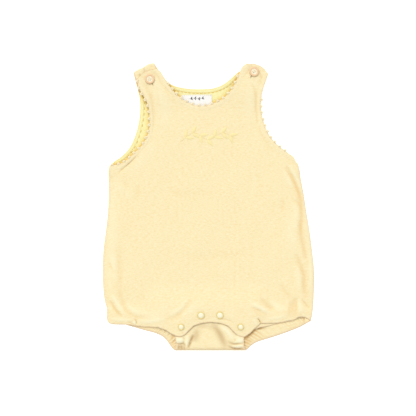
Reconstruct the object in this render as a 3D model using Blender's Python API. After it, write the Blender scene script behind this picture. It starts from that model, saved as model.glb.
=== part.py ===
"""Sleeveless baby romper in towelling jersey, laid flat on a table with its front up.

The cloth is cut as two panels. Each is triangulated in its flat pattern and then placed: the
back lies on the table, its straps turn over at the shoulders and its crotch flap turns up at the
bottom edge, and the front lies on the back with its tabs and its scalloped flap on top.
+X is the viewer's right, +Y is towards the neck, +Z is up from the table.
"""

import math
from typing import NamedTuple

import bmesh
import bpy
from mathutils import Vector
from mathutils.geometry import delaunay_2d_cdt

MM = 0.001  # every size below is in millimetres

# Cloth and seams
CLOTH = 1.5  # thickness of the towelling jersey
HALF_CLOTH = CLOTH / 2
SEAM_GAP = 0.3
EDGE_GAP = 0.38  # between a panel's cut edge and its binding or casing, along the curve
BODY_HEIGHT = 3.8  # height of the front panel's middle surface above the table
SEAM_HEIGHT = CLOTH + SEAM_GAP + HALF_CLOTH  # the same, where it meets the back at a side seam

# Edge finishes
BINDING_WIDTH = 6.3
BINDING_THICKNESS = 2.0
LEG_CASING_WIDTH = 17.0
FLAP_CASING_WIDTH = 10.5
CASING_WIDENS = 0.62  # share of a casing's length, from the flap, over which it widens
LEG_CASING_THICKNESS = 2.2
FRONT_CASING_WIDTH = 10.0
FRONT_CASING_THICKNESS = 1.6

# Picot trim
PICOT_PITCH = 8.45
PICOT_REACH = 2.9
PICOT_SPINE = 1.0
PICOT_THICKNESS = 2.2

# Fastenings and label
BUTTON_HOLE_RADIUS = 0.75
BUTTON_HOLE_OFFSET = 1.35
BUTTON_HOLE_SIDES = 8
BUTTON_SIDES = 24
SNAP_SIDES = 20
LABEL_THICKNESS = 0.5
LABEL_LENGTHS = 4

# Folds of the back panel
CROTCH_FOLD_RADIUS = 2.1
CROTCH_FOLD_Y = -180.9
STRAP_FOLD_RADIUS = 1.5
STRAP_LAP = 25.0  # length of strap that lies turned over
STRAP_HALF_WIDTH = 14.6
STRAP_CORNER = 6.0
STRAP_END_BOW = 0.02  # of a strap's end, for each square millimetre off its middle
LONGEST_SKEW = 12  # how far a binding's inner line may run past its outer one
OUTLINE_REACH = 12  # how far a binding's line is carried on to cut the cloth's corner

# Mesh
CURVE_STEP = 1.0
CHORD_ERROR = 0.18
SEAM_CHORD_ERROR = 0.08
LONGEST_CHORD = 13.0
STATION_STEP = 4.6  # between the cross-sections of a binding
TURN_STEP = 1.15  # the same, where it goes round a shoulder fold
TURN_CHORD = 1.9  # longest chord of an outline in a turn
GRID = 12.5
GRID_MARGIN = 4.5  # of the grid from an outline
GRID_SPACING = 4.2  # least distance between two of its points
TURN_SPACING = 0.8  # the same, and the margin, of the points across a turn
CLOSEST = 0.9  # outline points closer than this make slivers


class Knot(NamedTuple):
    """A point that an edge of the pattern passes through."""

    x: float
    y: float


class Run(NamedTuple):
    """One finished edge of a panel: its knots, and the width of the binding or casing on it."""

    name: str
    knots: list
    start_width: float = 0.0
    end_width: float = 0.0


class Strap(NamedTuple):
    """A back strap's fold at the shoulder: the middle of the fold line and the strap's lean."""

    x: float
    y: float
    lean_degrees: float


class Rise(NamedTuple):
    """A part of the front that is carried higher: a box, the width of its slope and its height."""

    x: float
    y: float
    half_x: float
    half_y: float
    slope: float
    height: float


class Crease(NamedTuple):
    """A soft trough (depth below zero) or ridge along a line from one point to another."""

    x0: float
    y0: float
    x1: float
    y1: float
    width: float
    depth: float


class Spot(NamedTuple):
    """The place and radius of a button or snap."""

    name: str
    x: float
    y: float
    radius: float


LEFT_STRAP = Strap(-82.6, 177.0, 23.5)
RIGHT_STRAP = Strap(59.6, 171.9, -23.5)

# Side seams, which the front and the back share
LEFT_SIDE = [
    Knot(-129.3, -147.0),
    Knot(-130.3, -141.6),
    Knot(-130.2, -131.0),
    Knot(-132.9, -120.5),
    Knot(-135.0, -102.5),
    Knot(-135.6, -79.5),
    Knot(-134.6, -55.0),
    Knot(-131.4, -29.8),
    Knot(-128.9, -6.5),
    Knot(-127.9, 21.8),
    Knot(-128.2, 45.0),
    Knot(-126.8, 53.0),
]
RIGHT_SIDE = [
    Knot(108.5, 65.0),
    Knot(113.0, 58.8),
    Knot(115.6, 52.0),
    Knot(118.3, 36.0),
    Knot(122.2, 15.0),
    Knot(126.0, -10.1),
    Knot(129.6, -31.6),
    Knot(132.8, -56.8),
    Knot(135.0, -78.3),
    Knot(135.2, -101.8),
    Knot(133.6, -131.0),
    Knot(131.0, -146.4),
]

# Front panel, clockwise from the left armpit
FRONT_LEFT_ARMHOLE = [
    Knot(-126.8, 53.0),
    Knot(-116.8, 54.0),
    Knot(-107.9, 57.4),
    Knot(-95.4, 68.2),
    Knot(-83.4, 81.0),
    Knot(-76.2, 97.1),
    Knot(-75.2, 113.9),
    Knot(-77.2, 130.8),
    Knot(-83.2, 142.7),
    Knot(-89.2, 154.0),
    Knot(-90.2, 164.0),
]
FRONT_LEFT_TAB_END = [
    Knot(-90.2, 164.0),
    Knot(-84.0, 170.8),
    Knot(-74.2, 175.2),
    Knot(-66.4, 176.6),
]
FRONT_NECK = [
    Knot(-66.4, 176.6),
    Knot(-62.0, 174.0),
    Knot(-57.0, 166.2),
    Knot(-48.6, 152.2),
    Knot(-37.1, 140.2),
    Knot(-21.0, 131.4),
    Knot(-7.5, 129.4),
    Knot(5.3, 132.1),
    Knot(20.2, 139.6),
    Knot(31.3, 152.4),
    Knot(38.7, 168.4),
    Knot(42.7, 179.0),
    Knot(48.6, 183.8),
]
FRONT_RIGHT_TAB_END = [
    Knot(48.6, 183.8),
    Knot(57.5, 183.2),
    Knot(68.6, 179.2),
    Knot(76.8, 170.2),
]
FRONT_RIGHT_ARMHOLE = [
    Knot(76.8, 170.2),
    Knot(73.8, 162.7),
    Knot(68.3, 144.8),
    Knot(66.7, 128.8),
    Knot(69.4, 111.7),
    Knot(78.3, 90.6),
    Knot(91.0, 76.8),
    Knot(108.5, 65.0),
]
FRONT_RIGHT_LEG = [
    Knot(131.0, -146.4),
    Knot(127.2, -143.5),
    Knot(122.0, -141.1),
    Knot(116.0, -141.0),
    Knot(110.4, -144.2),
    Knot(100.5, -146.3),
    Knot(89.0, -148.5),
    Knot(66.5, -149.0),
]
FRONT_FLAP = [
    Knot(66.5, -149.0),
    Knot(59.5, -155.3),
    Knot(50.8, -163.3),
    Knot(44.8, -166.2),
    Knot(38.4, -164.6),
    Knot(32.5, -160.2),
    Knot(25.9, -153.4),
    Knot(17.8, -149.6),
    Knot(3.1, -147.6),
    Knot(-11.6, -149.5),
    Knot(-18.9, -152.4),
    Knot(-24.1, -157.2),
    Knot(-30.0, -163.0),
    Knot(-35.8, -165.6),
    Knot(-41.6, -164.9),
    Knot(-48.0, -161.9),
    Knot(-55.7, -157.3),
    Knot(-64.0, -154.2),
]
FRONT_LEFT_LEG = [
    Knot(-64.0, -154.2),
    Knot(-83.8, -153.3),
    Knot(-102.9, -150.8),
    Knot(-120.0, -150.1),
    Knot(-126.4, -149.2),
    Knot(-129.3, -147.0),
]

# Back panel in its flat pattern, clockwise from the left armpit. The armhole and neck runs are
# lengthened over the shoulder folds by strap_edge().
BACK_LEFT_ARMHOLE = [
    Knot(-126.8, 53.0),
    Knot(-120.2, 59.2),
    Knot(-111.9, 64.8),
    Knot(-101.0, 76.8),
    Knot(-92.6, 96.3),
    Knot(-88.2, 119.0),
    Knot(-88.5, 139.0),
    Knot(-92.0, 154.0),
]
BACK_NECK = [
    Knot(-57.2, 166.2),
    Knot(-50.0, 158.9),
    Knot(-42.4, 155.2),
    Knot(-25.0, 151.9),
    Knot(-8.8, 151.4),
    Knot(4.2, 152.2),
    Knot(14.3, 155.2),
    Knot(23.0, 160.2),
    Knot(37.6, 172.8),
]
BACK_RIGHT_ARMHOLE = [
    Knot(70.0, 156.0),
    Knot(65.4, 144.0),
    Knot(64.5, 128.8),
    Knot(67.5, 111.7),
    Knot(76.5, 91.6),
    Knot(90.0, 77.6),
    Knot(108.5, 65.0),
]
BACK_RIGHT_LEG = [
    Knot(131.0, -146.4),
    Knot(117.6, -153.8),
    Knot(106.8, -158.3),
    Knot(89.5, -164.6),
    Knot(75.5, -169.0),
    Knot(62.4, -173.2),
    Knot(55.6, -177.2),
    Knot(49.6, -183.2),
    Knot(46.2, -190.0),
    Knot(45.8, -200.0),
    Knot(47.0, -215.0),
    Knot(46.5, -236.0),
]
BACK_FLAP_END = [
    Knot(46.5, -236.0),
    Knot(20.0, -231.0),
    Knot(0.0, -229.0),
    Knot(-20.0, -231.0),
    Knot(-46.5, -236.0),
]
BACK_LEFT_LEG = [
    Knot(-46.5, -236.0),
    Knot(-46.0, -215.0),
    Knot(-43.2, -202.0),
    Knot(-41.6, -192.0),
    Knot(-43.6, -185.6),
    Knot(-48.6, -178.6),
    Knot(-57.2, -167.6),
    Knot(-67.6, -162.1),
    Knot(-81.4, -158.3),
    Knot(-99.0, -153.2),
    Knot(-112.0, -149.2),
    Knot(-129.0, -144.0),
]

# Where the front is carried higher than over the body
FRONT_RISES = [
    Rise(-78.0, 172.0, 26.0, 22.0, 34.0, 2.0),  # left tab, over the turned strap
    Rise(62.0, 176.0, 26.0, 24.0, 34.0, 2.0),  # right tab
    Rise(0.0, -160.0, 56.0, 30.0, 34.0, 3.4),  # crotch, over the turned flap
    Rise(-88.0, -152.0, 30.0, 14.0, 16.0, 2.0),  # left leg, over both casings
    Rise(88.0, -152.0, 27.0, 14.0, 16.0, 2.0),  # right leg
]
FRONT_CREASES = [
    Crease(103.0, 46.0, 114.0, 20.0, 6.0, -1.1),  # right side trough, upper stretch
    Crease(112.0, 24.0, 121.0, -4.0, 5.0, -1.2),
    Crease(121.0, -12.0, 124.5, -80.0, 5.0, -0.6),
    Crease(109.0, 44.0, 120.0, 4.0, 4.5, 0.7),  # roll beside it
    Crease(70.0, -118.0, 96.0, -134.0, 7.0, -0.7),  # above the right leg
    Crease(106.0, -112.0, 103.0, -138.0, 6.0, -0.7),
    Crease(-126.0, -112.0, -112.0, -140.0, 4.5, -0.8),  # above the left leg
    Crease(-114.0, 36.0, -92.0, 60.0, 4.0, -0.6),  # from the left armpit
    Crease(-62.0, 156.0, -44.0, 130.0, 6.0, -0.4),  # down the left strap
]
FLAP_CREASES = [
    Crease(2.0, -150.0, 25.0, -178.0, 7.0, -1.5),
    Crease(-20.0, -160.0, -27.0, -180.0, 5.0, -1.4),
    Crease(-6.0, -158.0, 2.0, -176.0, 9.0, 0.7),
]

BUTTONS = [Spot("button_left", -75.0, 163.5, 6.25), Spot("button_right", 58.2, 173.0, 6.25)]
SNAPS = [
    Spot("snap_outer_left", -35.1, -153.0, 4.2),
    Spot("snap_inner_left", -9.7, -138.2, 4.75),
    Spot("snap_inner_right", 14.6, -138.1, 4.75),
    Spot("snap_outer_right", 41.1, -153.0, 4.2),
]
# Corners as (distance in from the rim, height), from the underside up
BUTTON_PROFILE = [(1.7, 0.0), (0.4, 0.3), (0.0, 0.95), (0.3, 1.5), (1.0, 1.76), (2.0, 1.55), (3.1, 1.3)]
SNAP_PROFILE = [(0.5, 0.0), (0.0, 0.5), (0.6, 1.2), (2.2, 1.7)]
LABEL_LEFT, LABEL_RIGHT, LABEL_TOP, LABEL_BOTTOM = -34.9, 4.2, 143.4, 127.0


# ---------------------------------------------------------------- curves


def smooth_step(t):
    """0 below 0, 1 above 1 and a smooth rise between."""
    t = min(1.0, max(0.0, t))
    return t * t * (3 - 2 * t)


def curve_through(knots, step=CURVE_STEP):
    """Points about step apart on a centripetal Catmull-Rom curve through the knots."""
    points = [Vector((k[0], k[1])) for k in knots]
    points = [2 * points[0] - points[1], *points, 2 * points[-1] - points[-2]]
    dense = []
    for a, b, c, d in zip(points, points[1:], points[2:], points[3:]):
        t1 = (b - a).length ** 0.5
        t2 = t1 + (c - b).length ** 0.5
        t3 = t2 + (d - c).length ** 0.5
        count = max(4, round((c - b).length / (0.25 * step)))
        for i in range(count):
            t = t1 + (t2 - t1) * i / count
            ab = a.lerp(b, t / t1)
            bc = b.lerp(c, (t - t1) / (t2 - t1))
            cd = c.lerp(d, (t - t2) / (t3 - t2))
            abc = ab.lerp(bc, t / t2)
            bcd = bc.lerp(cd, (t - t1) / (t3 - t1))
            dense.append(abc.lerp(bcd, (t - t1) / (t2 - t1)))
    dense.append(points[-2])
    return evenly(dense, step)


def evenly(points, step):
    """The polyline's points, moved to be equally spaced, about step apart."""
    reach = [0.0]
    for a, b in zip(points, points[1:]):
        reach.append(reach[-1] + (b - a).length)
    count = max(1, round(reach[-1] / step))
    spaced, i = [], 0
    for k in range(count + 1):
        target = reach[-1] * k / count
        while i < len(points) - 2 and reach[i + 1] < target:
            i += 1
        span = reach[i + 1] - reach[i]
        spaced.append(points[i].lerp(points[i + 1], (target - reach[i]) / span if span else 0.0))
    return spaced


def inward_normals(points):
    """The unit normals on the right of a clockwise edge, which is the cloth's side."""
    normals = []
    for i in range(len(points)):
        along = (points[min(i + 1, len(points) - 1)] - points[max(i - 1, 0)]).normalized()
        normals.append(Vector((along.y, -along.x)))
    return normals


def extended(points, reach):
    """The polyline with a straight stretch added at either end, a point to each millimetre."""
    away, on = (points[0] - points[2]).normalized(), (points[-1] - points[-3]).normalized()
    start = [points[0] + away * k for k in range(reach, 0, -1)]
    return start + list(points) + [points[-1] + on * k for k in range(1, reach + 1)]


def width_at(run, share):
    """The run's binding or casing width at a share of its length."""
    narrow, wide = sorted((run.start_width, run.end_width))
    from_narrow_end = share if run.start_width < run.end_width else 1 - share
    return narrow + (wide - narrow) * smooth_step(from_narrow_end / CASING_WIDENS)


def distance_beside(point, line):
    """(distance, share) to the nearest stretch of a polyline that the point lies square beside."""
    best = (1e9, 0.0)
    for i, (a, b) in enumerate(zip(line, line[1:])):
        along = b - a
        t = (point - a).dot(along) / along.length_squared
        if -0.05 <= t <= 1.05:
            distance = (point - a - along * t).length
            if distance < best[0]:
                best = (distance, (i + t) / (len(line) - 1))
    return best


def near_fold(point):
    """Whether a point of the back's pattern lies in one of its turns."""
    turn = CROTCH_FOLD_Y - point.y
    if -1.0 < turn < math.pi * CROTCH_FOLD_RADIUS + 1.0:
        return True
    return any(
        -1.0 < strap_coordinates(strap, point)[1] < math.pi * STRAP_FOLD_RADIUS + 1.0
        and abs(strap_coordinates(strap, point)[0]) < 1.3 * STRAP_HALF_WIDTH
        for strap in (LEFT_STRAP, RIGHT_STRAP)
    )


def thinned(points, error, close_up=None):
    """The polyline with only the points that its shape needs, and all of them in a turn."""
    kept, start = [points[0]], 0
    for end in range(2, len(points)):
        a, b = points[start], points[end]
        chord = b - a
        sag = max(abs((p - a).cross(chord)) / chord.length for p in points[start + 1 : end])
        turning = close_up is not None and close_up(points[end - 1])
        if sag > error or chord.length > LONGEST_CHORD or (turning and chord.length > TURN_CHORD):
            start = end - 1
            kept.append(points[start])
    kept.append(points[-1])
    return kept


def panel_outline(runs, close_up=None):
    """The closed outline of the cloth inside its bindings and casings."""
    finished = {run.name: run for run in runs if run.start_width}
    lines = {name: extended(curve_through(run.knots), OUTLINE_REACH) for name, run in finished.items()}
    whole = [point for run in runs for point in curve_through(run.knots)[:-1]]
    outline = []
    for run in runs:
        error = CHORD_ERROR
        points = curve_through(run.knots)
        if run.name in finished:
            error = SEAM_CHORD_ERROR
            line = lines[run.name]
            length = len(points) - 1
            offsets = [width_at(run, (i - OUTLINE_REACH) / length) + EDGE_GAP for i in range(len(line))]
            points = [p + n * offset for p, n, offset in zip(line, inward_normals(line), offsets)]
            points = [p for p in points if inside(p, whole)]
        for name, other in finished.items():
            if name != run.name:
                beside = [distance_beside(p, lines[name]) for p in points]
                widths = [width_at(other, share) + EDGE_GAP - 0.02 for _, share in beside]
                points = [p for p, (gap, _), width in zip(points, beside, widths) if gap > width]
        outline += thinned(points, error, close_up)
    kept = []
    for point in outline:
        if not kept or (point - kept[-1]).length > CLOSEST:
            kept.append(point)
    while (kept[0] - kept[-1]).length < CLOSEST:
        kept.pop()
    return kept


def inside(point, outline):
    """Whether a point is inside a closed outline."""
    crossings = False
    for a, b in zip(outline, outline[1:] + outline[:1]):
        if (a.y > point.y) != (b.y > point.y):
            if point.x < a.x + (point.y - a.y) * (b.x - a.x) / (b.y - a.y):
                crossings = not crossings
    return crossings


def distance_to(point, outline):
    """The distance from a point to a closed outline."""
    best = 1e9
    for a, b in zip(outline, outline[1:] + outline[:1]):
        along = b - a
        t = min(1.0, max(0.0, (point - a).dot(along) / along.length_squared))
        best = min(best, (point - a - along * t).length)
    return best


# ---------------------------------------------------------------- placing the cloth


def strap_axes(strap):
    """(direction along the fold line, direction off the strap's end) of a strap."""
    lean = math.radians(strap.lean_degrees)
    return Vector((math.cos(lean), math.sin(lean))), Vector((-math.sin(lean), math.cos(lean)))


def strap_coordinates(strap, point):
    """(place across the strap, distance past its fold line) of a point of the pattern."""
    along_fold, off_end = strap_axes(strap)
    offset = point - Vector((strap.x, strap.y))
    return offset.dot(along_fold), offset.dot(off_end)


def strap_point(strap, across, past):
    """The pattern's point at a place across the strap and past its fold line."""
    along_fold, off_end = strap_axes(strap)
    return Vector((strap.x, strap.y)) + along_fold * across + off_end * past


def strap_edge(strap, side, ends):
    """Knots that carry an edge run over the shoulder fold to the strap's end."""
    turn = math.pi * STRAP_FOLD_RADIUS
    edge = [
        strap_point(strap, side * (STRAP_HALF_WIDTH + 0.6), 0.0),
        strap_point(strap, side * STRAP_HALF_WIDTH, turn + 6.0),
        strap_point(strap, side * (STRAP_HALF_WIDTH - 0.8), turn + STRAP_LAP - STRAP_CORNER),
    ]
    return edge if ends else edge[::-1]


def turned(distance, radius):
    """(advance, height) of cloth that goes past a fold line and turns back over itself."""
    if distance <= 0:
        return distance, 0.0
    if distance < math.pi * radius:
        angle = distance / radius
        return radius * math.sin(angle), radius * (1 - math.cos(angle))
    return math.pi * radius - distance, 2 * radius


def crease_height(creases, x, y):
    """The sum of the creases' heights at a point."""
    total = 0.0
    for crease in creases:
        start, end = Vector((crease.x0, crease.y0)), Vector((crease.x1, crease.y1))
        along = end - start
        t = (Vector((x, y)) - start).dot(along) / along.length_squared
        clamped = min(1.0, max(0.0, t))
        away = (Vector((x, y)) - start - along * clamped).length / crease.width
        fade = 0.35 + 0.65 * math.sin(math.pi * clamped)
        total += crease.depth * fade * math.exp(-away * away)
    return total


def box_share(rise, x, y):
    """1 inside a rise's box, falling to 0 across its slope."""
    outside = math.hypot(max(0.0, abs(x - rise.x) - rise.half_x), max(0.0, abs(y - rise.y) - rise.half_y))
    return smooth_step(1 - outside / rise.slope)


SIDE_SEAMS = [curve_through(LEFT_SIDE, 4.0), curve_through(RIGHT_SIDE, 4.0)]


def from_side_seam(x, y):
    """Distance to the nearer side seam."""
    point = Vector((x, y))
    return min(distance_beside(point, seam)[0] for seam in SIDE_SEAMS)


def front_height(x, y):
    """Height of the front panel's middle surface above the table."""
    lift = max(rise.height * box_share(rise, x, y) for rise in FRONT_RISES)
    between_ends = smooth_step((y + 136) / 14) * smooth_step((47 - y) / 12)
    drop = (BODY_HEIGHT - SEAM_HEIGHT) * (1 - smooth_step(from_side_seam(x, y) / 15)) * between_ends
    calm = smooth_step(from_side_seam(x, y) / 5)
    height = BODY_HEIGHT + lift - drop + crease_height(FRONT_CREASES, x, y) * calm
    return max(height, SEAM_HEIGHT + 0.04)


def front_middle(x, y):
    """The front panel's middle surface at a point of its pattern."""
    return Vector((x, y, front_height(x, y)))


def back_middle(x, y):
    """The back panel's middle surface at a point of its flat pattern."""
    past_crotch = CROTCH_FOLD_Y - y
    if past_crotch > 0:
        advance, height = turned(past_crotch, CROTCH_FOLD_RADIUS)
        place_y = CROTCH_FOLD_Y - advance
        settled = smooth_step((past_crotch - math.pi * CROTCH_FOLD_RADIUS) / 12)
        slump = -1.0 * smooth_step((place_y + 176) / 40)
        belly = math.exp(-((x / 30) ** 4))
        height += settled * (slump + belly * crease_height(FLAP_CREASES, x, place_y))
        return Vector((x, place_y, HALF_CLOTH + height))
    for strap in (LEFT_STRAP, RIGHT_STRAP):
        across, past = strap_coordinates(strap, Vector((x, y)))
        if past > 0 and abs(across) < 2 * STRAP_HALF_WIDTH:
            advance, height = turned(past, STRAP_FOLD_RADIUS)
            placed = strap_point(strap, across, advance)
            return Vector((placed.x, placed.y, HALF_CLOTH + height))
    return Vector((x, y, HALF_CLOTH))


def off_surface(middle, x, y, offset):
    """The point at a distance off a placed panel's middle surface, towards the garment's inside
    on the back and towards its outside on the front, which are both up before any fold."""
    step = 0.05
    across = middle(x + step, y) - middle(x - step, y)
    along = middle(x, y + step) - middle(x, y - step)
    return middle(x, y) + across.cross(along).normalized() * offset


# ---------------------------------------------------------------- solids


def material(name, colour, roughness, sheen=0.0):
    """A Principled material."""
    made = bpy.data.materials.new(name)
    made.use_nodes = True
    shader = made.node_tree.nodes["Principled BSDF"]
    shader.inputs["Base Color"].default_value = (*colour, 1.0)
    shader.inputs["Roughness"].default_value = roughness
    shader.inputs["Sheen Weight"].default_value = sheen
    return made


def add_object(name, points, faces, finish):
    """An object of the scene from points in millimetres and faces."""
    mesh = bpy.data.meshes.new(name)
    mesh.from_pydata([tuple(p * MM) for p in points], [], faces)
    body = bmesh.new()
    body.from_mesh(mesh)
    bmesh.ops.recalc_face_normals(body, faces=body.faces)
    body.to_mesh(mesh)
    body.free()
    mesh.shade_smooth()
    mesh.set_sharp_from_angle(angle=math.radians(50))
    mesh.materials.append(finish)
    made = bpy.data.objects.new(name, mesh)
    bpy.context.scene.collection.objects.link(made)
    return made


def grid_points(outline, creases, extra):
    """Points inside an outline: an even grid, a closer one along the creases, and extra ones."""
    xs, ys = [p.x for p in outline], [p.y for p in outline]
    found = [p for p in extra if inside(p, outline) and distance_to(p, outline) > TURN_SPACING]
    for crease in creases:
        start, end = Vector((crease.x0, crease.y0)), Vector((crease.x1, crease.y1))
        square = Vector((start.y - end.y, end.x - start.x)).normalized()
        count = max(2, round((end - start).length / 8))
        for side in (-1.1, 0.0, 1.1):
            for i in range(count + 1):
                found.append(start.lerp(end, i / count) + square * side * crease.width)
    row_height = GRID * math.sqrt(0.75)
    for row in range(math.ceil((max(ys) - min(ys)) / row_height)):
        y = min(ys) + (row + 0.5) * row_height
        for column in range(math.ceil((max(xs) - min(xs)) / GRID) + 1):
            found.append(Vector((min(xs) + (column + 0.5 * (row % 2)) * GRID, y)))
    kept = []
    for point in found:
        margin = TURN_SPACING if point in extra else GRID_MARGIN
        spacing = TURN_SPACING if point in extra else GRID_SPACING
        if not inside(point, outline) or distance_to(point, outline) < margin:
            continue
        if all((point - other).length > spacing for other in kept):
            kept.append(point)
    return kept


def panel(name, runs, middle, finish, creases=(), extra=(), close_up=None):
    """A panel of cloth: its outline filled with triangles, placed, and made a wall thick."""
    outline = panel_outline(runs, close_up)
    count = len(outline)
    flat = outline + grid_points(outline, creases, list(extra))
    rim = [(i, (i + 1) % count) for i in range(count)]
    flat, _, triangles, *_ = delaunay_2d_cdt(flat, rim, [], 1, 1e-4)
    points = [off_surface(middle, p.x, p.y, offset) for offset in (HALF_CLOTH, -HALF_CLOTH) for p in flat]
    under = len(flat)
    faces = [tuple(t) for t in triangles] + [tuple(i + under for i in reversed(t)) for t in triangles]
    for a, b in rim:
        faces.append((a, b, b + under, a + under))
    return add_object(name, points, faces, finish)


def strip(name, middle, outer, inner, section, finish):
    """A narrow piece along an edge: its cross-section carried from outer[i] to inner[i].

    section(i) gives (share of the way from the outer to the inner line, offset off the surface)
    for each corner, in order round the piece."""
    points, faces = [], []
    for i, (a, b) in enumerate(zip(outer, inner)):
        for share, offset in section(i):
            place = a.lerp(b, share)
            points.append(off_surface(middle, place.x, place.y, offset))
    corners = len(section(0))
    for i in range(len(outer) - 1):
        for k in range(corners):
            here, after = i * corners + k, i * corners + (k + 1) % corners
            faces.append((here, after, after + corners, here + corners))
    faces.append(tuple(range(corners)))
    faces.append(tuple(range(len(points) - 1, len(points) - 1 - corners, -1)))
    return add_object(name, points, faces, finish)


def rounded_section(low, high):
    """Corners of a strip's section with round edges, from offset low to offset high."""
    middle = (low + high) / 2
    return [(0.0, middle), (0.16, high), (0.84, high), (1.0, middle), (0.84, low), (0.16, low)]


def edge_lines(run, trims, skews, step):
    """(outer line, inner line) of a strip that lies along a run.

    trims are taken off the strip's ends, and skews carry its inner line past them."""
    whole = curve_through(run.knots)
    last = len(whole) - 1
    outer = whole[round(trims[0]) : last + 1 - round(trims[1])]
    reach = LONGEST_SKEW
    long = extended(whole, reach)
    normals = inward_normals(long)
    inner = []
    for i in range(round(trims[0] - skews[0]), last + 1 - round(trims[1] - skews[1])):
        inner.append(long[i + reach] + normals[i + reach] * width_at(run, i / last))
    shares, share, length = [], 0.0, last * CURVE_STEP
    while share < 1.0:
        shares.append(share)
        share += (TURN_STEP if near_fold(at_share(outer, share)) else step) / length
    if 1.0 - shares[-1] < 0.4 * step / length:
        shares.pop()
    shares.append(1.0)
    return [at_share(outer, share) for share in shares], [at_share(inner, share) for share in shares]


def at_share(points, share):
    """The point at a share of the way along an evenly spaced polyline."""
    place = share * (len(points) - 1)
    i = min(int(place), len(points) - 2)
    return points[i].lerp(points[i + 1], place - i)


def binding(name, run, middle, low, high, skews, finish):
    """A binding along a run, rounded and a little thicker than the cloth."""
    outer, inner = edge_lines(run, (0.0, 0.0), skews, STATION_STEP)
    return strip(name, middle, outer, inner, lambda i: rounded_section(low, high), finish)


def gather_wave(distance, pitch):
    """An uneven wave of height 1 for gathers a pitch apart."""
    steady = math.sin(2 * math.pi * distance / pitch)
    uneven = math.sin(2 * math.pi * distance / (pitch * 2.7) + 1.3)
    return 0.72 * steady + 0.28 * uneven


def casing(name, run, middle, thickness, pitch, heights, turned_heights, trims, finish):
    """An elastic casing along a leg edge, with gathers whose height follows heights(share)."""
    outer, inner = edge_lines(run, trims, (0.0, 0.0), pitch / 4)
    reach = [0.0]
    for a, b in zip(outer, outer[1:]):
        reach.append(reach[-1] + (b - a).length)

    def section(i):
        share = reach[i] / reach[-1]
        wave = gather_wave(reach[i], pitch)
        high = thickness - HALF_CLOTH + heights(share) * wave
        low = -HALF_CLOTH - turned_heights(share) * (1 + wave) / 2
        return rounded_section(low, high)

    return strip(name, middle, outer, inner, section, finish)


def right_reveal(share):
    """How far the right leg's casing shows below the front's edge, along it from the side seam."""
    return -1.4 + 5.4 * smooth_step((share - 0.3) / 0.35)


def front_casing(name, run, middle, trims, reveal, finish):
    """A leg casing turned under the front's lower edge, showing below it by reveal(share)."""
    whole = curve_through(run.knots)
    long = thinned(whole[trims[0] : len(whole) - trims[1]], SEAM_CHORD_ERROR)
    normals = inward_normals(long)
    last = len(long) - 1
    outer = [p - n * reveal(i / last) for i, (p, n) in enumerate(zip(long, normals))]
    inner = [p + n * FRONT_CASING_WIDTH for p, n in zip(long, normals)]
    high = -HALF_CLOTH - EDGE_GAP
    return strip(name, middle, outer, inner, lambda i: rounded_section(high - FRONT_CASING_THICKNESS, high), finish)


def picots(name, run, middle, first, last, finish):
    """Picot trim outside a run: a narrow spine with a bead at every pitch, from first to last."""
    whole = curve_through(run.knots)
    normals = inward_normals(whole)
    count = round((last - first) / PICOT_PITCH)
    profile = [(-0.5, 0.0), (-0.2, 0.55), (0.0, 1.0), (0.2, 0.55)]
    places = [(k + share, bulge) for k in range(count) for share, bulge in profile]
    places.append((count - 0.5, 0.0))
    outer, inner, bulges = [], [], []
    for place, bulge in places:
        i = min(len(whole) - 1, max(0, round(first + (place + 0.5) * PICOT_PITCH)))
        reach = PICOT_SPINE + (PICOT_REACH - PICOT_SPINE) * bulge
        outer.append(whole[i] - normals[i] * (EDGE_GAP + reach))
        inner.append(whole[i] - normals[i] * EDGE_GAP)
        bulges.append(bulge)

    def section(i):
        half = PICOT_THICKNESS / 2 * (0.45 + 0.55 * bulges[i])
        return [(0.0, 0.0), (0.55, half), (1.0, 0.0), (0.55, -half)]

    return strip(name, middle, outer, inner, section, finish)


def circle(radius, segments, centre=(0.0, 0.0)):
    """Points round a circle."""
    turns = [2 * math.pi * k / segments for k in range(segments)]
    return [Vector((centre[0] + radius * math.cos(a), centre[1] + radius * math.sin(a))) for a in turns]


def disc_faces(rim, holes):
    """Triangles that fill a ring of points, less the holes' rings, as numbers into all of them."""
    flat, edges = [], []
    for ring in (rim, *holes):
        start, count = len(flat), len(ring)
        edges += [(start + k, start + (k + 1) % count) for k in range(count)]
        flat += ring
    _, _, triangles, *_ = delaunay_2d_cdt(flat, edges, [], 1, 1e-5)
    centres = [(t, (flat[t[0]] + flat[t[1]] + flat[t[2]]) / 3) for t in triangles]
    return [t for t, centre in centres if not any(inside(centre, hole) for hole in holes)]


def turned_solid(name, profile, segments, seat, up, finish, holes=()):
    """A round piece from (radius, height) corners, with round holes from its first to its last."""
    points, faces = [], []
    sides = BUTTON_HOLE_SIDES
    bored = [circle(BUTTON_HOLE_RADIUS, sides, hole) for hole in holes]
    for radius, height in profile:
        points += [Vector((p.x, p.y, height)) for p in circle(radius, segments)]
    bored_start = [len(points), len(points) + sides * len(bored)]
    for height in (profile[0][1], profile[-1][1]):
        points += [Vector((p.x, p.y, height)) for hole in bored for p in hole]
    for ring in range(len(profile) - 1):
        for k in range(segments):
            a, b = ring * segments + k, ring * segments + (k + 1) % segments
            faces.append((a, b, b + segments, a + segments))
    for end, first in enumerate((0, (len(profile) - 1) * segments)):
        shift = bored_start[end] - segments
        for face in disc_faces(circle(profile[-end][0], segments), bored):
            face = tuple(first + i if i < segments else shift + i for i in face)
            faces.append(face if end else face[::-1])
    for number in range(len(bored)):
        low, high = bored_start[0] + sides * number, bored_start[1] + sides * number
        for k in range(sides):
            after = (k + 1) % sides
            faces.append((low + after, low + k, high + k, high + after))
    turn = up.to_track_quat("Z", "Y")
    return add_object(name, [seat + turn @ p for p in points], faces, finish)


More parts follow.
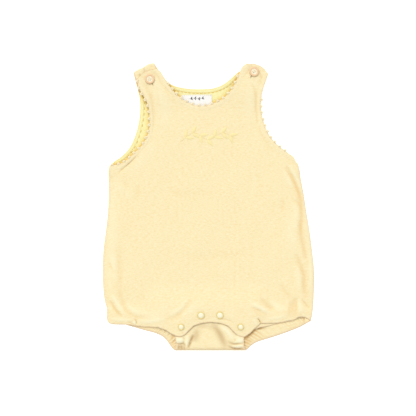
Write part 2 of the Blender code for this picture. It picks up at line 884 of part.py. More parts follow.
def fold_points():
    """Closer points of the back's pattern across its turns."""
    points = []
    turn = math.pi * CROTCH_FOLD_RADIUS
    for row in range(6):
        y = CROTCH_FOLD_Y - turn * (row / 4 if row < 5 else 1.8)
        points += [Vector((x, y)) for x in range(-34, 36, 7)]
    turn = math.pi * STRAP_FOLD_RADIUS
    for strap in (LEFT_STRAP, RIGHT_STRAP):
        for row in range(5):
            points += [strap_point(strap, across, turn * row / 4) for across in (-6.0, -2.0, 2.0, 6.0)]
    return points


def front_runs():
    """The front panel's edges, clockwise from the left armpit."""
    bound = BINDING_WIDTH
    return {
        run.name: run
        for run in (
            Run("left_armhole", FRONT_LEFT_ARMHOLE, bound, bound),
            Run("left_tab_end", FRONT_LEFT_TAB_END),
            Run("neck", FRONT_NECK, bound, bound),
            Run("right_tab_end", FRONT_RIGHT_TAB_END),
            Run("right_armhole", FRONT_RIGHT_ARMHOLE, bound, bound),
            Run("right_side", RIGHT_SIDE),
            Run("right_leg", FRONT_RIGHT_LEG),
            Run("flap", FRONT_FLAP),
            Run("left_leg", FRONT_LEFT_LEG),
            Run("left_side", LEFT_SIDE),
        )
    }


def back_runs():
    """The back panel's edges in its flat pattern, clockwise from the left armpit."""
    bound = BINDING_WIDTH
    turn = math.pi * STRAP_FOLD_RADIUS
    left_armhole = BACK_LEFT_ARMHOLE + strap_edge(LEFT_STRAP, -1, True)
    neck = strap_edge(LEFT_STRAP, 1, False) + BACK_NECK + strap_edge(RIGHT_STRAP, -1, True)
    right_armhole = strap_edge(RIGHT_STRAP, 1, False) + BACK_RIGHT_ARMHOLE
    end_at = {across: turn + STRAP_LAP - STRAP_END_BOW * across**2 for across in (-9, 0, 9)}
    ends = {
        strap: [strap_point(strap, across, past) for across, past in end_at.items()]
        for strap in (LEFT_STRAP, RIGHT_STRAP)
    }
    return {
        run.name: run
        for run in (
            Run("left_armhole", left_armhole, bound, bound),
            Run("left_strap_end", [left_armhole[-1], *ends[LEFT_STRAP], neck[0]]),
            Run("neck", neck, bound, bound),
            Run("right_strap_end", [neck[-1], *ends[RIGHT_STRAP], right_armhole[0]]),
            Run("right_armhole", right_armhole, bound, bound),
            Run("right_side", RIGHT_SIDE),
            Run("right_leg", BACK_RIGHT_LEG, LEG_CASING_WIDTH, FLAP_CASING_WIDTH),
            Run("flap_end", BACK_FLAP_END),
            Run("left_leg", BACK_LEFT_LEG, FLAP_CASING_WIDTH, LEG_CASING_WIDTH),
            Run("left_side", LEFT_SIDE),
        )
    }


def build_back(outside, inside_face):
    """The back panel with its bindings, leg casings and label."""
    runs = back_runs()
    extra = fold_points()
    panel("back_panel", list(runs.values()), back_middle, inside_face, (), extra, near_fold)
    low, high = -HALF_CLOTH, BINDING_THICKNESS - HALF_CLOTH
    binding("back_neck_binding", runs["neck"], back_middle, low, high, (0.0, 0.0), inside_face)
    binding("back_armhole_binding_left", runs["left_armhole"], back_middle, low, high, (1.0, 0.0), inside_face)
    binding("back_armhole_binding_right", runs["right_armhole"], back_middle, low, high, (0.0, 12.0), inside_face)

    def right_heights(share):
        return 0.12 + 0.38 * smooth_step((share - 0.38) / 0.15) + 0.16 * smooth_step((0.16 - share) / 0.1)

    def right_turned(share):
        return 0.5 * smooth_step((share - 0.66) / 0.1)

    casing(
        "back_leg_casing_right", runs["right_leg"], back_middle, LEG_CASING_THICKNESS, 5.6,
        right_heights, right_turned, (0.0, 0.0), outside,
    )
    casing(
        "back_leg_casing_left", runs["left_leg"], back_middle, LEG_CASING_THICKNESS, 5.6,
        lambda share: right_heights(1 - share), lambda share: right_turned(1 - share), (0.0, 0.0), outside,
    )


def build_front(outside, trim):
    """The front panel with its bindings, leg casings and picot trim."""
    runs = front_runs()
    panel("front_panel", list(runs.values()), front_middle, outside, FRONT_CREASES)
    low, high = -BINDING_THICKNESS / 2, BINDING_THICKNESS / 2
    binding("front_neck_binding", runs["neck"], front_middle, low, high, (4.5, 6.0), outside)
    binding("front_armhole_binding_left", runs["left_armhole"], front_middle, low, high, (1.5, 6.0), outside)
    binding("front_armhole_binding_right", runs["right_armhole"], front_middle, low, high, (3.5, 12.0), outside)
    front_casing("front_leg_casing_left", runs["left_leg"], front_middle, (1, 14), lambda share: -1.4, outside)
    front_casing("front_leg_casing_right", runs["right_leg"], front_middle, (24, 1), right_reveal, outside)
    picots("picots_neck", runs["neck"], front_middle, 20.0, 146.75, trim)
    picots("picots_armhole_left", runs["left_armhole"], front_middle, -1.0, 125.75, trim)
    picots("picots_armhole_right", runs["right_armhole"], front_middle, 30.0, 114.5, trim)


def build_label(finish):
    """The woven label on the inside of the back neck."""
    low, high = HALF_CLOTH + SEAM_GAP, HALF_CLOTH + SEAM_GAP + LABEL_THICKNESS
    step = (LABEL_RIGHT - LABEL_LEFT) / LABEL_LENGTHS
    outer = [Vector((LABEL_LEFT + step * k, LABEL_TOP)) for k in range(LABEL_LENGTHS + 1)]
    inner = [Vector((p.x, LABEL_BOTTOM)) for p in outer]
    strip("label", back_middle, outer, inner, lambda i: [(0, low), (0, high), (1, high), (1, low)], finish)


def build_fastenings(shell, cap):
    """The shoulder buttons and the crotch snaps, standing on the front's surface."""
    holes = [(x * BUTTON_HOLE_OFFSET, y * BUTTON_HOLE_OFFSET) for x in (-1, 1) for y in (-1, 1)]
    for spot in BUTTONS:
        profile = [(spot.radius - inset, height) for inset, height in BUTTON_PROFILE]
        turned_solid(spot.name, profile, BUTTON_SIDES, *seat_on_front(spot), shell, holes)
    for spot in SNAPS:
        profile = [(spot.radius - inset, height) for inset, height in SNAP_PROFILE]
        turned_solid(spot.name, profile, SNAP_SIDES, *seat_on_front(spot), cap)


def seat_on_front(spot):
    """(seat, direction up) of a fastening a seam gap off the front's surface."""
    surface = off_surface(front_middle, spot.x, spot.y, HALF_CLOTH)
    up = (surface - front_middle(spot.x, spot.y)).normalized()
    return surface + up * (SEAM_GAP + 0.05), up


def main():
    """Builds the romper."""
    for old in list(bpy.data.objects):
        bpy.data.objects.remove(old)
    outside = material("towelling_outside", (0.97, 0.84, 0.52), 0.95, 0.4)
    inside_face = material("jersey_inside", (0.98, 0.90, 0.45), 0.9, 0.2)
    trim = material("picot_thread", (0.95, 0.83, 0.68), 0.8)
    woven = material("label_satin", (0.94, 0.93, 0.90), 0.5)
    shell = material("button_shell", (0.90, 0.71, 0.48), 0.25)
    cap = material("snap_cap", (0.98, 0.93, 0.72), 0.3)
    build_back(outside, inside_face)
    build_label(woven)
    build_front(outside, trim)
    build_fastenings(shell, cap)


main()
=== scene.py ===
"""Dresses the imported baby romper: cloth, bindings, gathered casings, picot trim, fastenings, studio.

Lengths are in millimetres, and become metres where a mesh is made. +X is the viewer's right, +Y is
towards the neck and +Z is up from the table that the romper lies on.
"""

import logging
import math
from collections.abc import Callable, Sequence
from dataclasses import dataclass, field, replace
from enum import Enum
from functools import cache, cached_property
from typing import NamedTuple

import bpy
import numpy as np
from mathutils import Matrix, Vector
from mathutils.geometry import delaunay_2d_cdt


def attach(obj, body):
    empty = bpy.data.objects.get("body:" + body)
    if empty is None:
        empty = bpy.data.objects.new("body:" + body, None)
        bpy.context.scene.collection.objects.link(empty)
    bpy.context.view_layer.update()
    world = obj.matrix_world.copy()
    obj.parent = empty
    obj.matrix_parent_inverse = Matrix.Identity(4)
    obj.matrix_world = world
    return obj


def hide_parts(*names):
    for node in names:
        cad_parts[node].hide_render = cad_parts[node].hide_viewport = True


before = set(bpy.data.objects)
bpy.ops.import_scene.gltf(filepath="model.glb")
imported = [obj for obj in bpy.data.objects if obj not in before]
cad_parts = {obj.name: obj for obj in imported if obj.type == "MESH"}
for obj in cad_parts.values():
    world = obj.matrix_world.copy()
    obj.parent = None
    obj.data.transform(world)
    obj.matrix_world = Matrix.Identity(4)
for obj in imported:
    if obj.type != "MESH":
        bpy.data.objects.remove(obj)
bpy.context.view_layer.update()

log = logging.getLogger("romper")

MM = 0.001
Array = np.ndarray
Colour = tuple[float, float, float]
Socket = bpy.types.NodeSocket

# Cloth and seams, as the solids have them
CLOTH = 1.5
HALF_CLOTH = CLOTH / 2
SEAM_HEIGHT = 2.55  # the front's middle surface where it meets the back at a side seam
BODY_HEIGHT = 3.8  # the same over the body
BINDING_WIDTH = 6.3
CROTCH_FOLD_RADIUS = 2.1
CROTCH_FOLD_Y = -180.9
STRAP_FOLD_RADIUS = 1.5
STRAP_LAP = 25.0
STRAP_HALF_WIDTH = 14.6
STRAP_CORNER = 6.0
CASING_WIDENS = 0.62  # share of a casing's length, from the flap, over which it widens
TUCK = 2.2  # how far a panel's raw edge reaches into its binding or casing
TURNED_HEIGHT = 2.4  # above it the back's cloth is a turned strap or the turned flap
# Below LEG_SHADE_TOP the cloth's inside takes the outside's towelling in place of lemon, as painted shade.
LEG_SHADE_TOP = -120.0  # below it the inside of the cloth is in shade and shows no lemon
STUDIO_GAIN = 1.3  # brightness of a white card on the table
GOLDEN_SHADE = (0.82, 0.53, 0.10)  # the lemon inside of the cloth, deep in shade


class Slot(Enum):
    """Names of material slots."""

    TOWELLING = "towelling_outside"
    JERSEY = "jersey_inside"
    PICOT = "picot_thread"
    LABEL = "label_satin"
    BUTTON = "button_shell"
    SNAP = "snap_cap"


class Face(Enum):
    """The two faces of the towelling jersey, as numbers of a panel's materials."""

    OUTSIDE = 0
    INSIDE = 1


class Knot(NamedTuple):
    """A point that an edge of the pattern passes through."""

    x: float
    y: float


class Strap(NamedTuple):
    """A back strap's fold: its middle, the strap's lean, and how far out it bows at places across it."""

    x: float
    y: float
    lean_degrees: float
    bow: tuple["Knot", ...]


class Rise(NamedTuple):
    """A part of the front that is carried higher: a box, the width of its slope and its height."""

    x: float
    y: float
    half_x: float
    half_y: float
    slope: float
    height: float


class Fold(NamedTuple):
    """A soft trough (depth below zero) or ridge along a smooth line through a few knots."""

    knots: tuple[Knot, ...]
    width: float
    depth: float

    def beside(self, places: Array, reach: float) -> tuple[Array, Array, Array]:
        """Which places lie near the fold, and how near.

        Args:
            places: Places of the pattern, one row each.
            reach: How far outside the fold's box a place may lie.

        Returns:
            The numbers of those places, their distances and their shares of the way along.
        """
        line = crease_line(self.knots)
        low, high = line.points.min(axis=0) - reach, line.points.max(axis=0) + reach
        near = np.flatnonzero(((places > low) & (places < high)).all(axis=1))
        return near, *line.beside(places[near])


class Gather(NamedTuple):
    """A stretch of casing, as shares of its length, with gathers of one pitch and height."""

    start: float
    end: float
    pitch: float
    height: float


class Spot(NamedTuple):
    """The place and radius of a button or snap."""

    name: str
    x: float
    y: float
    radius: float


def knots(*numbers: float) -> tuple[Knot, ...]:
    """Knots from their x and y in turn."""
    return tuple(Knot(x, y) for x, y in zip(numbers[::2], numbers[1::2]))


def folds(*rows: tuple[float, ...]) -> tuple[Fold, ...]:
    """Folds from rows of a width, a depth and the x and y of each knot in turn."""
    return tuple(Fold(knots(*numbers), width, depth) for width, depth, *numbers in rows)


LEFT_STRAP = Strap(
    -82.6, 177.2, 23.5,
    knots(-16.5, -2.6, -14, -1.2, -9, 0.1, -1, 0.1, 3.3, 0.7, 7.2, 1.5, 11, 0.8, 14, -0.2, 16, -2),
)
RIGHT_STRAP = Strap(59.6, 171.9, -23.5, knots(-16, -1, -8, 0.5, 8, 0.5, 16, -1))

# Side seams, which the front and the back share
LEFT_SIDE = knots(
    -129.3, -147, -130.3, -141.6, -130.2, -131, -132.9, -120.5, -135, -102.5, -135.6, -79.5,
    -134.6, -55, -131.4, -29.8, -128.9, -6.5, -127.9, 21.8, -128.2, 45, -126.8, 53,
)
RIGHT_SIDE = knots(
    108.5, 65, 113, 58.8, 115.6, 52, 118.3, 36, 122.2, 15, 126, -10.1, 129.6, -31.6,
    132.8, -56.8, 135, -78.3, 135.2, -101.8, 133.6, -131, 131, -146.4,
)

# Front panel, clockwise from the left armpit
FRONT_LEFT_ARMHOLE = knots(
    -126.8, 53, -116.8, 54, -107.9, 57.4, -95.4, 68.2, -83.4, 81, -76.2, 97.1, -75.2, 113.9,
    -77.2, 130.8, -83.2, 142.7, -89.2, 154, -90.2, 164,
)
FRONT_LEFT_TAB_END = knots(-90.2, 164, -84, 170.8, -74.2, 175.2, -66.4, 176.6)
FRONT_NECK = knots(
    -66.4, 176.6, -62, 174, -57, 166.2, -48.6, 152.2, -37.1, 140.2, -21, 131.4, -7.5, 129.4,
    5.3, 132.1, 20.2, 139.6, 31.3, 152.4, 38.7, 168.4, 42.7, 178.9, 48.6, 183.7,
)
FRONT_RIGHT_TAB_END = knots(48.6, 183.7, 57.5, 183.5, 68.6, 179.2, 76.8, 170.2)
FRONT_RIGHT_ARMHOLE = knots(
    76.8, 170.2, 73.8, 162.7, 68.3, 144.8, 66.7, 128.8, 69.4, 111.7, 78.3, 90.6, 91, 76.8, 108.5, 65,
)
FRONT_RIGHT_LEG = knots(
    131, -146.4, 127.2, -143.5, 122, -141.1, 116, -141, 110.4, -144.2, 100.5, -146.3,
    89, -148.5, 66.5, -149,
)
FRONT_FLAP = knots(
    66.5, -149, 59.5, -155.3, 50.8, -163.3, 44.8, -166.2, 38.4, -164.6, 32.5, -160.2, 25.9, -153.4,
    17.8, -149.6, 3.1, -147.6, -11.6, -149.5, -18.9, -152.4, -24.1, -157.2, -30, -163,
    -35.8, -165.6, -41.6, -164.9, -48, -161.9, -55.7, -157.3, -64, -154.2,
)
FRONT_LEFT_LEG = knots(
    -64, -154.2, -83.8, -153.3, -102.9, -150.8, -120, -150.1, -126.4, -149.2, -129.3, -147,
)

# The right front casing's edge, where it shows below the front
FRONT_CASING_EDGE = knots(
    109, -142.6, 100, -144.4, 94, -147, 88, -149.6, 80, -151.6, 72, -153.3, 66, -154.2,
    61, -156, 56, -157,
)

# Back panel in its flat pattern, clockwise from the left armpit
BACK_LEFT_ARMHOLE = knots(
    -126.8, 53, -120.2, 59.2, -111.9, 64.8, -101, 76.8, -92.6, 96.3, -88.2, 119, -88.5, 139,
    -92, 154,
)
BACK_NECK = knots(
    -57.2, 166.2, -50, 158.9, -42.4, 155.2, -25, 151.9, -8.8, 151.4, 4.2, 152.2, 14.3, 155.2,
    23, 160.2, 37.6, 172.8,
)
BACK_RIGHT_ARMHOLE = knots(
    70, 156, 65.4, 144, 64.5, 128.8, 67.5, 111.7, 76.5, 91.6, 90, 77.6, 108.5, 65,
)
BACK_RIGHT_LEG = knots(
    131, -146.4, 117.6, -153.8, 106.8, -158.3, 89.5, -164.6, 75.5, -169, 62.4, -173.2,
    55.6, -177.2, 49.6, -183.2, 46.2, -190, 45.8, -200, 47, -215, 46.5, -236,
)
BACK_FLAP_END = knots(46.5, -236, 20, -231, 0, -229, -20, -231, -46.5, -236)
BACK_LEFT_LEG = knots(
    -46.5, -236, -46, -215, -43.2, -202, -41.6, -192, -43.6, -185.6, -48.6, -178.6,
    -57.2, -167.6, -67.6, -162.1, -81.4, -158.3, -99, -153.2, -112, -149.2, -129, -144,
)

FRONT_RISES = (
    Rise(-78, 172, 26, 22, 34, 2),  # left tab, over the turned strap
    Rise(62, 176, 26, 24, 34, 2),  # right tab
    Rise(0, -160, 56, 30, 34, 3.4),  # crotch, over the turned flap
    Rise(-88, -152, 30, 14, 16, 1.5),  # left leg, over both casings
    Rise(88, -152, 27, 14, 16, 1.5),  # right leg
)
FRONT_FOLDS = folds(
    # Down the right side
    (2.4, 0.6, 119, 30, 123.5, 8, 126.5, -15, 129, -45),
    (2.4, 0.6, 129, -40, 130.8, -62, 131.2, -90, 130, -118),
    (2.6, -1.9, 99.1, 52.4, 102.7, 44.5, 108.3, 35.3, 113.3, 23.9, 117.5, 11.1, 120.2, -4),
    (2.4, 0.7, 103.5, 54, 108, 45, 114, 33, 118.5, 20),
    (2.6, 0.6, 96, 46, 101, 38, 107.5, 25),
    (2.2, -1.4, 109, 9.5, 115, 4.6, 118.3, -1.7, 119, -13.1, 118.2, -28, 120, -46),
    (4, -0.4, 118, -16, 117.4, -33, 119, -50),
    (2.2, -1.2, 119.4, -40, 122.6, -55, 125.3, -69),
    (2.6, -1.5, 112.6, -60, 118.4, -76.8, 122.1, -88, 122.3, -99, 123.4, -110, 124.8, -119),
    (3, 0.5, 112.5, -74, 115.5, -92, 116.5, -108),
    (3, 0.4, 109, 6, 112, -8, 111.5, -30),
    (3.4, -0.6, 93.8, 9, 95, 2, 95.8, -6),
    # Above the right leg
    (1.3, -1.1, 119.3, -118, 124.8, -125.4, 129.6, -130.2),
    (3, -0.9, 110.5, -115, 108.4, -126, 107, -143),
    (2.4, -0.9, 112.5, -116, 112.4, -128, 112.4, -142),
    (2.4, -0.75, 106.5, -121, 103.8, -131, 102.6, -143),
    (2.2, 0.7, 116.6, -119, 117, -128, 117.5, -136),
    (3.2, -0.7, 91.9, -98.9, 99.2, -110, 106.5, -119),
    (3, -1, 65, -117, 75.4, -126.3, 84, -132.5),
    (2.4, 0.8, 52, -122.5, 64.5, -128.1, 79, -135.5),
    (2.4, -0.7, 56, -127.5, 63, -132, 71, -137.5),
    (4, 0.5, 78, -121, 88, -127, 97, -134),
    (1.1, -2.2, 62, -142.4, 65, -144.9, 67.6, -149.6),
    (2.2, 0.5, 57, -143, 60, -147, 60.6, -151),
    (2.2, 0.5, 72, -143.6, 88, -141.6, 100, -138.8),
    # Above the left leg
    (2.4, -0.6, -127.9, -70, -123.5, -79, -119, -88),
    (3.6, -0.6, -115, -52, -113.2, -85.2, -113, -102.3, -112.3, -116.5),
    (2.8, -0.9, -113, -108, -107.3, -129.3, -100.2, -136.4, -91, -141.2, -78, -141.4),
    (1.8, -1.6, -125.6, -120, -122.5, -126.5, -118, -133, -110, -141.5),
    (2, 0.8, -123.4, -112, -116, -125, -107.5, -136),
    (3, 0.5, -104, -124, -97, -131.5, -88, -136),
    (2.2, 0.7, -126, -143.6, -110, -144.6, -97, -145.6),
    (2.4, 0.6, -90, -146.6, -74, -146.4, -56, -143),
    (2.8, -0.75, -21, -117, -31, -130, -40.2, -139.1, -54, -145),
    (2.8, 0.6, -26, -119, -35.5, -130, -50, -138.5),
    (1, -1.2, -95.6, -143, -92.6, -145.6, -91.6, -151),
    (1.4, 1, -95.6, -146.4, -94.4, -148.2, -94, -150),
    (1.1, -0.9, -104.5, -146.8, -99.5, -148.6, -95.6, -150.6),
    # Grooves beside the bindings
    (1.2, -1.5, -115.5, 43, -111.1, 47.4, -105.5, 52.4, -98.3, 58.8, -91, 66.5),
    (1.3, -0.35, -96, 60.5, -88, 69.5, -79, 80, -71.5, 94),
    (1.9, -1, -71.5, 92, -70, 112, -71.6, 127, -73.6, 139.5, -76.2, 147.2, -79.6, 159),
    (1.5, -0.6, -72, 172, -66.5, 168.2, -62.5, 162),
    (2, -0.75, -64, 165.5, -59.5, 158.1, -55.7, 152.3, -51.8, 147.8, -46.5, 143, -39, 137.4),
    (1.3, -0.5, 46, 166, 50.5, 173.5, 55, 180.5),
    (1.6, -0.85, 64, 174, 67.9, 163.5, 66.4, 152.5),
    (2, -1.2, 54, 156.5, 58.6, 151, 60.8, 142.5, 61.6, 128, 62.8, 116, 64.4, 103.5),
    (1.3, -0.4, 64, 104, 70, 88.5, 78, 77.2, 88.5, 68.5),
    # Facing behind the snaps, and soft creases elsewhere
    (7, 0.4, -74, 168, -64, 152, -56, 128, -56, 100),
    (7, 0.3, 62, 178, 56, 160, 53, 135, 54, 105),
    (6, 0.25, -100, 40, -84, 62, -66, 84),
    (1, -0.7, 15, -142.6, 20.5, -143.9, 27.9, -145.5, 33.4, -150.1),
    (3.4, 0.35, -34, -143, -22, -131, -6, -128),
    (2.8, -0.35, -106.5, 34, -106, 24, -107, 13),
    (3.4, -0.4, -90, 30, -90.5, 18, -93, 6),
    (4, 0.4, -118, 27, -108, 22, -102, 10),
    (3.4, 0.45, -119, -95, -120.5, -80, -121, -60),
    (7, 0.3, -121, 34, -123, -30, -125, -112),
    (6, 0.3, -112, -134, -70, -139, -44, -128),
    (6, 0.35, 104, -8, 106.5, -35, 109, -64),
    (5, -0.2, -62, 20, -30, 16, 10, 18),
    (5, -0.2, -40, -60, 0, -64, 50, -60),
)
TURNED_FOLDS = folds(
    # Left strap
    (1, -0.9, -83.4, 179, -82.4, 176, -81.2, 171.5),
    (1.3, -1, -89, 170.6, -87.4, 168.3, -86.4, 165),
    (1.2, -0.4, -74, 181, -72, 178),
    # Crotch flap
    (4.2, -1.5, 2, -151.5, 9.7, -155.6, 15, -163.6, 18.6, -171.5, 23.5, -181.5),
    (3.4, 0.9, 13, -151.5, 22, -157, 28.5, -164, 32, -170),
    (4.4, -1.1, -13, -156.5, -16, -164, -17.7, -174),
    (1.7, -2.6, -19.6, -163.5, -22.6, -171.5, -26, -181),
    (2, 1, -27.6, -164, -27.4, -172, -30, -180.5),
    (2.8, -0.6, -17, -154.6, -6, -153, 4, -153.6),
    (3.4, 2, -42, -170.1, -37, -170.6, -32, -170.2),
    (1, -1.9, -42.6, -172.2, -40.4, -174.6, -37, -175.5, -33, -174.6, -31.4, -172),
    (3, -0.8, -44, -179.2, -36.6, -178.6, -28, -179.2),
    (1.2, 0.9, -41.6, -175.8, -41.2, -178.5, -41.8, -182),
    (1.1, -1, -38.4, -176.6, -37.6, -179, -38.8, -182.6),
    (1.1, -1.1, -34.6, -176.4, -34.6, -179.4, -33.6, -182.6),
    (1.1, -1, -31.2, -173.4, -30.4, -178, -30.8, -182.6),
    (4.2, 1.3, 34, -169.4, 40, -170, 46, -169.6),
    (1.5, -1.7, 25, -172, 31, -175.4, 37, -175.2, 45, -174.4),
    (1.2, 1.6, 31, -178.4, 38, -178.2, 44.6, -177.6),
    (1.2, -2.2, 25, -177.2, 30, -180.4, 37, -181.2, 46, -180.8),
)
CASING_FOLDS = folds(
    # Left leg
    (1.1, -0.8, -53.2, -155.4, -54.6, -158.7, -55.8, -161.8),
    (1, -0.8, -49.4, -159, -50.7, -163, -51.8, -166.2),
    (1.2, -0.9, -44.6, -162.6, -46.4, -166.9, -48, -171),
    (1.2, -0.9, -43, -169, -44.8, -173.4, -46.8, -177),
    (1.3, -0.7, -60, -155, -60.8, -157.6, -61.6, -160),
    # Right leg
    (2.2, -1.6, 46.6, -168.4, 52, -162.4, 58, -156.4),
    (1.6, -1.5, 57.5, -155.2, 62.4, -154.2, 68.5, -155.4),
    (0.9, -1, 55.4, -159.4, 61, -157, 68, -155.6, 76, -155.4),
    (0.8, 0.8, 56.6, -157.8, 60, -156.4, 63.6, -155.8),
    (4.6, -0.6, 47, -167, 49.5, -172, 52.6, -177),
    (1.2, -1.4, 121.6, -141, 122.9, -144, 122.6, -147.4),
    (1.8, -0.9, 112, -143, 118, -142.4, 124, -142.6),
)

# How the casings gather. A casing runs from the side seam over the crotch fold to the flap's end.
RIGHT_GATHERS = (
    Gather(0.01, 0.23, 2.9, 0.55),  # fine flutes at the side seam
    Gather(0.20, 0.44, 9, 0.12),
    Gather(0.40, 0.66, 3.9, 1.15),
    Gather(0.60, 0.68, 2.5, 0.45),
    Gather(0.66, 1.00, 7.8, 0.50),
)
LEFT_GATHERS = (
    Gather(0.02, 0.26, 6, 0.15),
    Gather(0.22, 0.40, 4.2, 0.45),
    Gather(0.34, 0.66, 2.9, 0.85),
    Gather(0.60, 0.70, 2.5, 0.55),
    Gather(0.66, 1.00, 7.8, 0.40),
)

BUTTONS = (Spot("button_left", -75, 163.5, 6.25), Spot("button_right", 58.2, 173, 6.25))
SNAPS = (
    Spot("snap_outer_left", -35.1, -153, 4.2),
    Spot("snap_inner_left", -9.7, -138.2, 4.75),
    Spot("snap_inner_right", 14.6, -138.1, 4.75),
    Spot("snap_outer_right", 41.1, -153, 4.2),
)


# ---- lines and shapes


def ease(t: Array | float) -> Array:
    """0 below 0, 1 above 1 and a smooth rise between."""
    t = np.clip(t, 0.0, 1.0)
    return t * t * (3 - 2 * t)


def bell(t: Array) -> Array:
    """A smooth hump of height 1 at 0."""
    return np.exp(-t * t)


def rounded(share: Array, radius: float) -> Array:
    """A quarter round that rises from 0 at share 0 to 1 at the radius, and stays there."""
    return np.sqrt(1 - np.clip(1 - share / radius, 0, 1) ** 2)


def circle(count: int) -> Array:
    """Points evenly round a circle of radius 1, one row each."""
    turns = np.linspace(0, 2 * math.pi, count, endpoint=False)
    return np.column_stack([np.cos(turns), np.sin(turns)])


def ways(degrees: float) -> tuple[Array, Array]:
    """(the unit vector at an angle to X, the one square to it on its left)."""
    turn = math.radians(degrees)
    return np.array([math.cos(turn), math.sin(turn)]), np.array([-math.sin(turn), math.cos(turn)])


@dataclass(frozen=True)
class Line:
    """A line in the pattern's plane, as evenly spaced points.

    Attributes:
        points: Its points, one row each.
    """

    points: Array

    @staticmethod
    def through(given: Sequence[Knot], step: float = 1.0) -> "Line":
        """A smooth line through knots.

        Args:
            given: The knots, in order.
            step: The distance between the line's points.

        Returns:
            The centripetal Catmull-Rom curve, as a Line.
        """
        ends = np.array(given, float)
        ends = np.vstack([2 * ends[0] - ends[1], ends, 2 * ends[-1] - ends[-2]])
        dense = []
        for a, b, c, d in zip(ends, ends[1:], ends[2:], ends[3:]):
            t1 = math.dist(a, b) ** 0.5
            t2 = t1 + math.dist(b, c) ** 0.5
            t3 = t2 + math.dist(c, d) ** 0.5
            count = max(4, round(4 * math.dist(b, c) / step))
            t = t1 + (t2 - t1) * np.arange(count)[:, None] / count
            ab = a + (b - a) * t / t1
            bc = b + (c - b) * (t - t1) / (t2 - t1)
            cd = c + (d - c) * (t - t2) / (t3 - t2)
            abc = ab + (bc - ab) * t / t2
            bcd = bc + (cd - bc) * (t - t1) / (t3 - t1)
            dense.append(abc + (bcd - abc) * (t - t1) / (t2 - t1))
        return Line(np.vstack([*dense, ends[-2:-1]])).spaced(step)

    def reach(self) -> Array:
        """The distance along the line to each of its points."""
        steps = np.linalg.norm(np.diff(self.points, axis=0), axis=1)
        return np.concatenate([[0.0], np.cumsum(steps)])

    def length(self) -> float:
        """The line's length."""
        return float(self.reach()[-1])

    def at(self, share: Array) -> Array:
        """The points at shares of the way along."""
        reach = self.reach()
        return np.stack([np.interp(share * reach[-1], reach, column) for column in self.points.T], axis=-1)

    def spaced(self, step: float) -> "Line":
        """The same line with points about step apart."""
        count = max(2, round(self.length() / step))
        return Line(self.at(np.linspace(0, 1, count + 1)))

    def normals(self) -> Array:
        """Unit normals on the right of the line, which is the cloth's side of a clockwise edge.

        Returns:
            A normal for each point.
        """
        along = np.gradient(self.points, axis=0)
        along /= np.linalg.norm(along, axis=1, keepdims=True)
        return np.stack([along[:, 1], -along[:, 0]], axis=1)

    def moved(self, offset: Array | float) -> Array:
        """The line's points, moved onto the cloth by an offset."""
        return self.points + self.normals() * np.reshape(offset, (-1, 1))

    def facing(self, share: Array) -> Array:
        """Unit normals that point away from the cloth, at shares of the way along."""
        return -self.normals()[(share * (len(self.points) - 1)).round().astype(int)]

    def carried_on(self, reach: int) -> "Line":
        """The line with a straight stretch added at either end, a point to each millimetre.

        Args:
            reach: Each stretch's length.

        Returns:
            The longer line.
        """
        first, last = self.points[0], self.points[-1]
        away = (first - self.points[2]) / math.dist(first, self.points[2])
        onward = (last - self.points[-3]) / math.dist(last, self.points[-3])
        steps = np.arange(1, reach + 1)[:, None]
        return Line(np.vstack([first + away * steps[::-1], self.points, last + onward * steps]))

    def beside(self, places: Array, square: bool = False) -> tuple[Array, Array]:
        """How far places lie from the line.

        Args:
            places: Points of the pattern, one row each.
            square: Whether only stretches that a place lies square beside count.

        Returns:
            The distance of each place, and the share of the way along where the line is nearest.
        """
        start, along = self.points[:-1], np.diff(self.points, axis=0)
        span = (along**2).sum(axis=1)
        distances, shares = np.empty(len(places)), np.empty(len(places))
        for first in range(0, len(places), 4000):
            offset = places[first : first + 4000, None] - start
            t = (offset * along).sum(axis=2) / span
            held = np.clip(t, 0, 1)
            gap = np.linalg.norm(offset - along * held[:, :, None], axis=2)
            if square:
                gap = np.where((t > -0.05) & (t < 1.05), gap, 1e9)
            nearest = gap.argmin(axis=1)
            row = np.arange(len(nearest))
            distances[first : first + 4000] = gap[row, nearest]
            shares[first : first + 4000] = (nearest + held[row, nearest]) / len(span)
        return distances, shares


@cache
def crease_line(given: tuple[Knot, ...]) -> Line:
    """A crease's line through its knots."""
    return Line.through(given, 3.0)


def closed(outline: Array) -> Line:
    """A closed outline as a Line that ends where it starts."""
    return Line(np.vstack([outline, outline[:1]]))


def inside(places: Array, outline: Array) -> Array:
    """Whether each place is inside a closed outline.

    Args:
        places: Places of the pattern, one row each.
        outline: The outline's points.

    Returns:
        True or False for each place.
    """
    a, b = outline, np.roll(outline, -1, axis=0)
    rise = np.where(a[:, 1] == b[:, 1], 1.0, b[:, 1] - a[:, 1])
    found = np.zeros(len(places), bool)
    for first in range(0, len(places), 4000):
        x, y = places[first : first + 4000, :1], places[first : first + 4000, 1:]
        spans = (a[:, 1] > y) != (b[:, 1] > y)
        crossing = a[:, 0] + (y - a[:, 1]) * (b[:, 0] - a[:, 0]) / rise
        found[first : first + 4000] = (spans & (x < crossing)).sum(axis=1) % 2 == 1
    return found


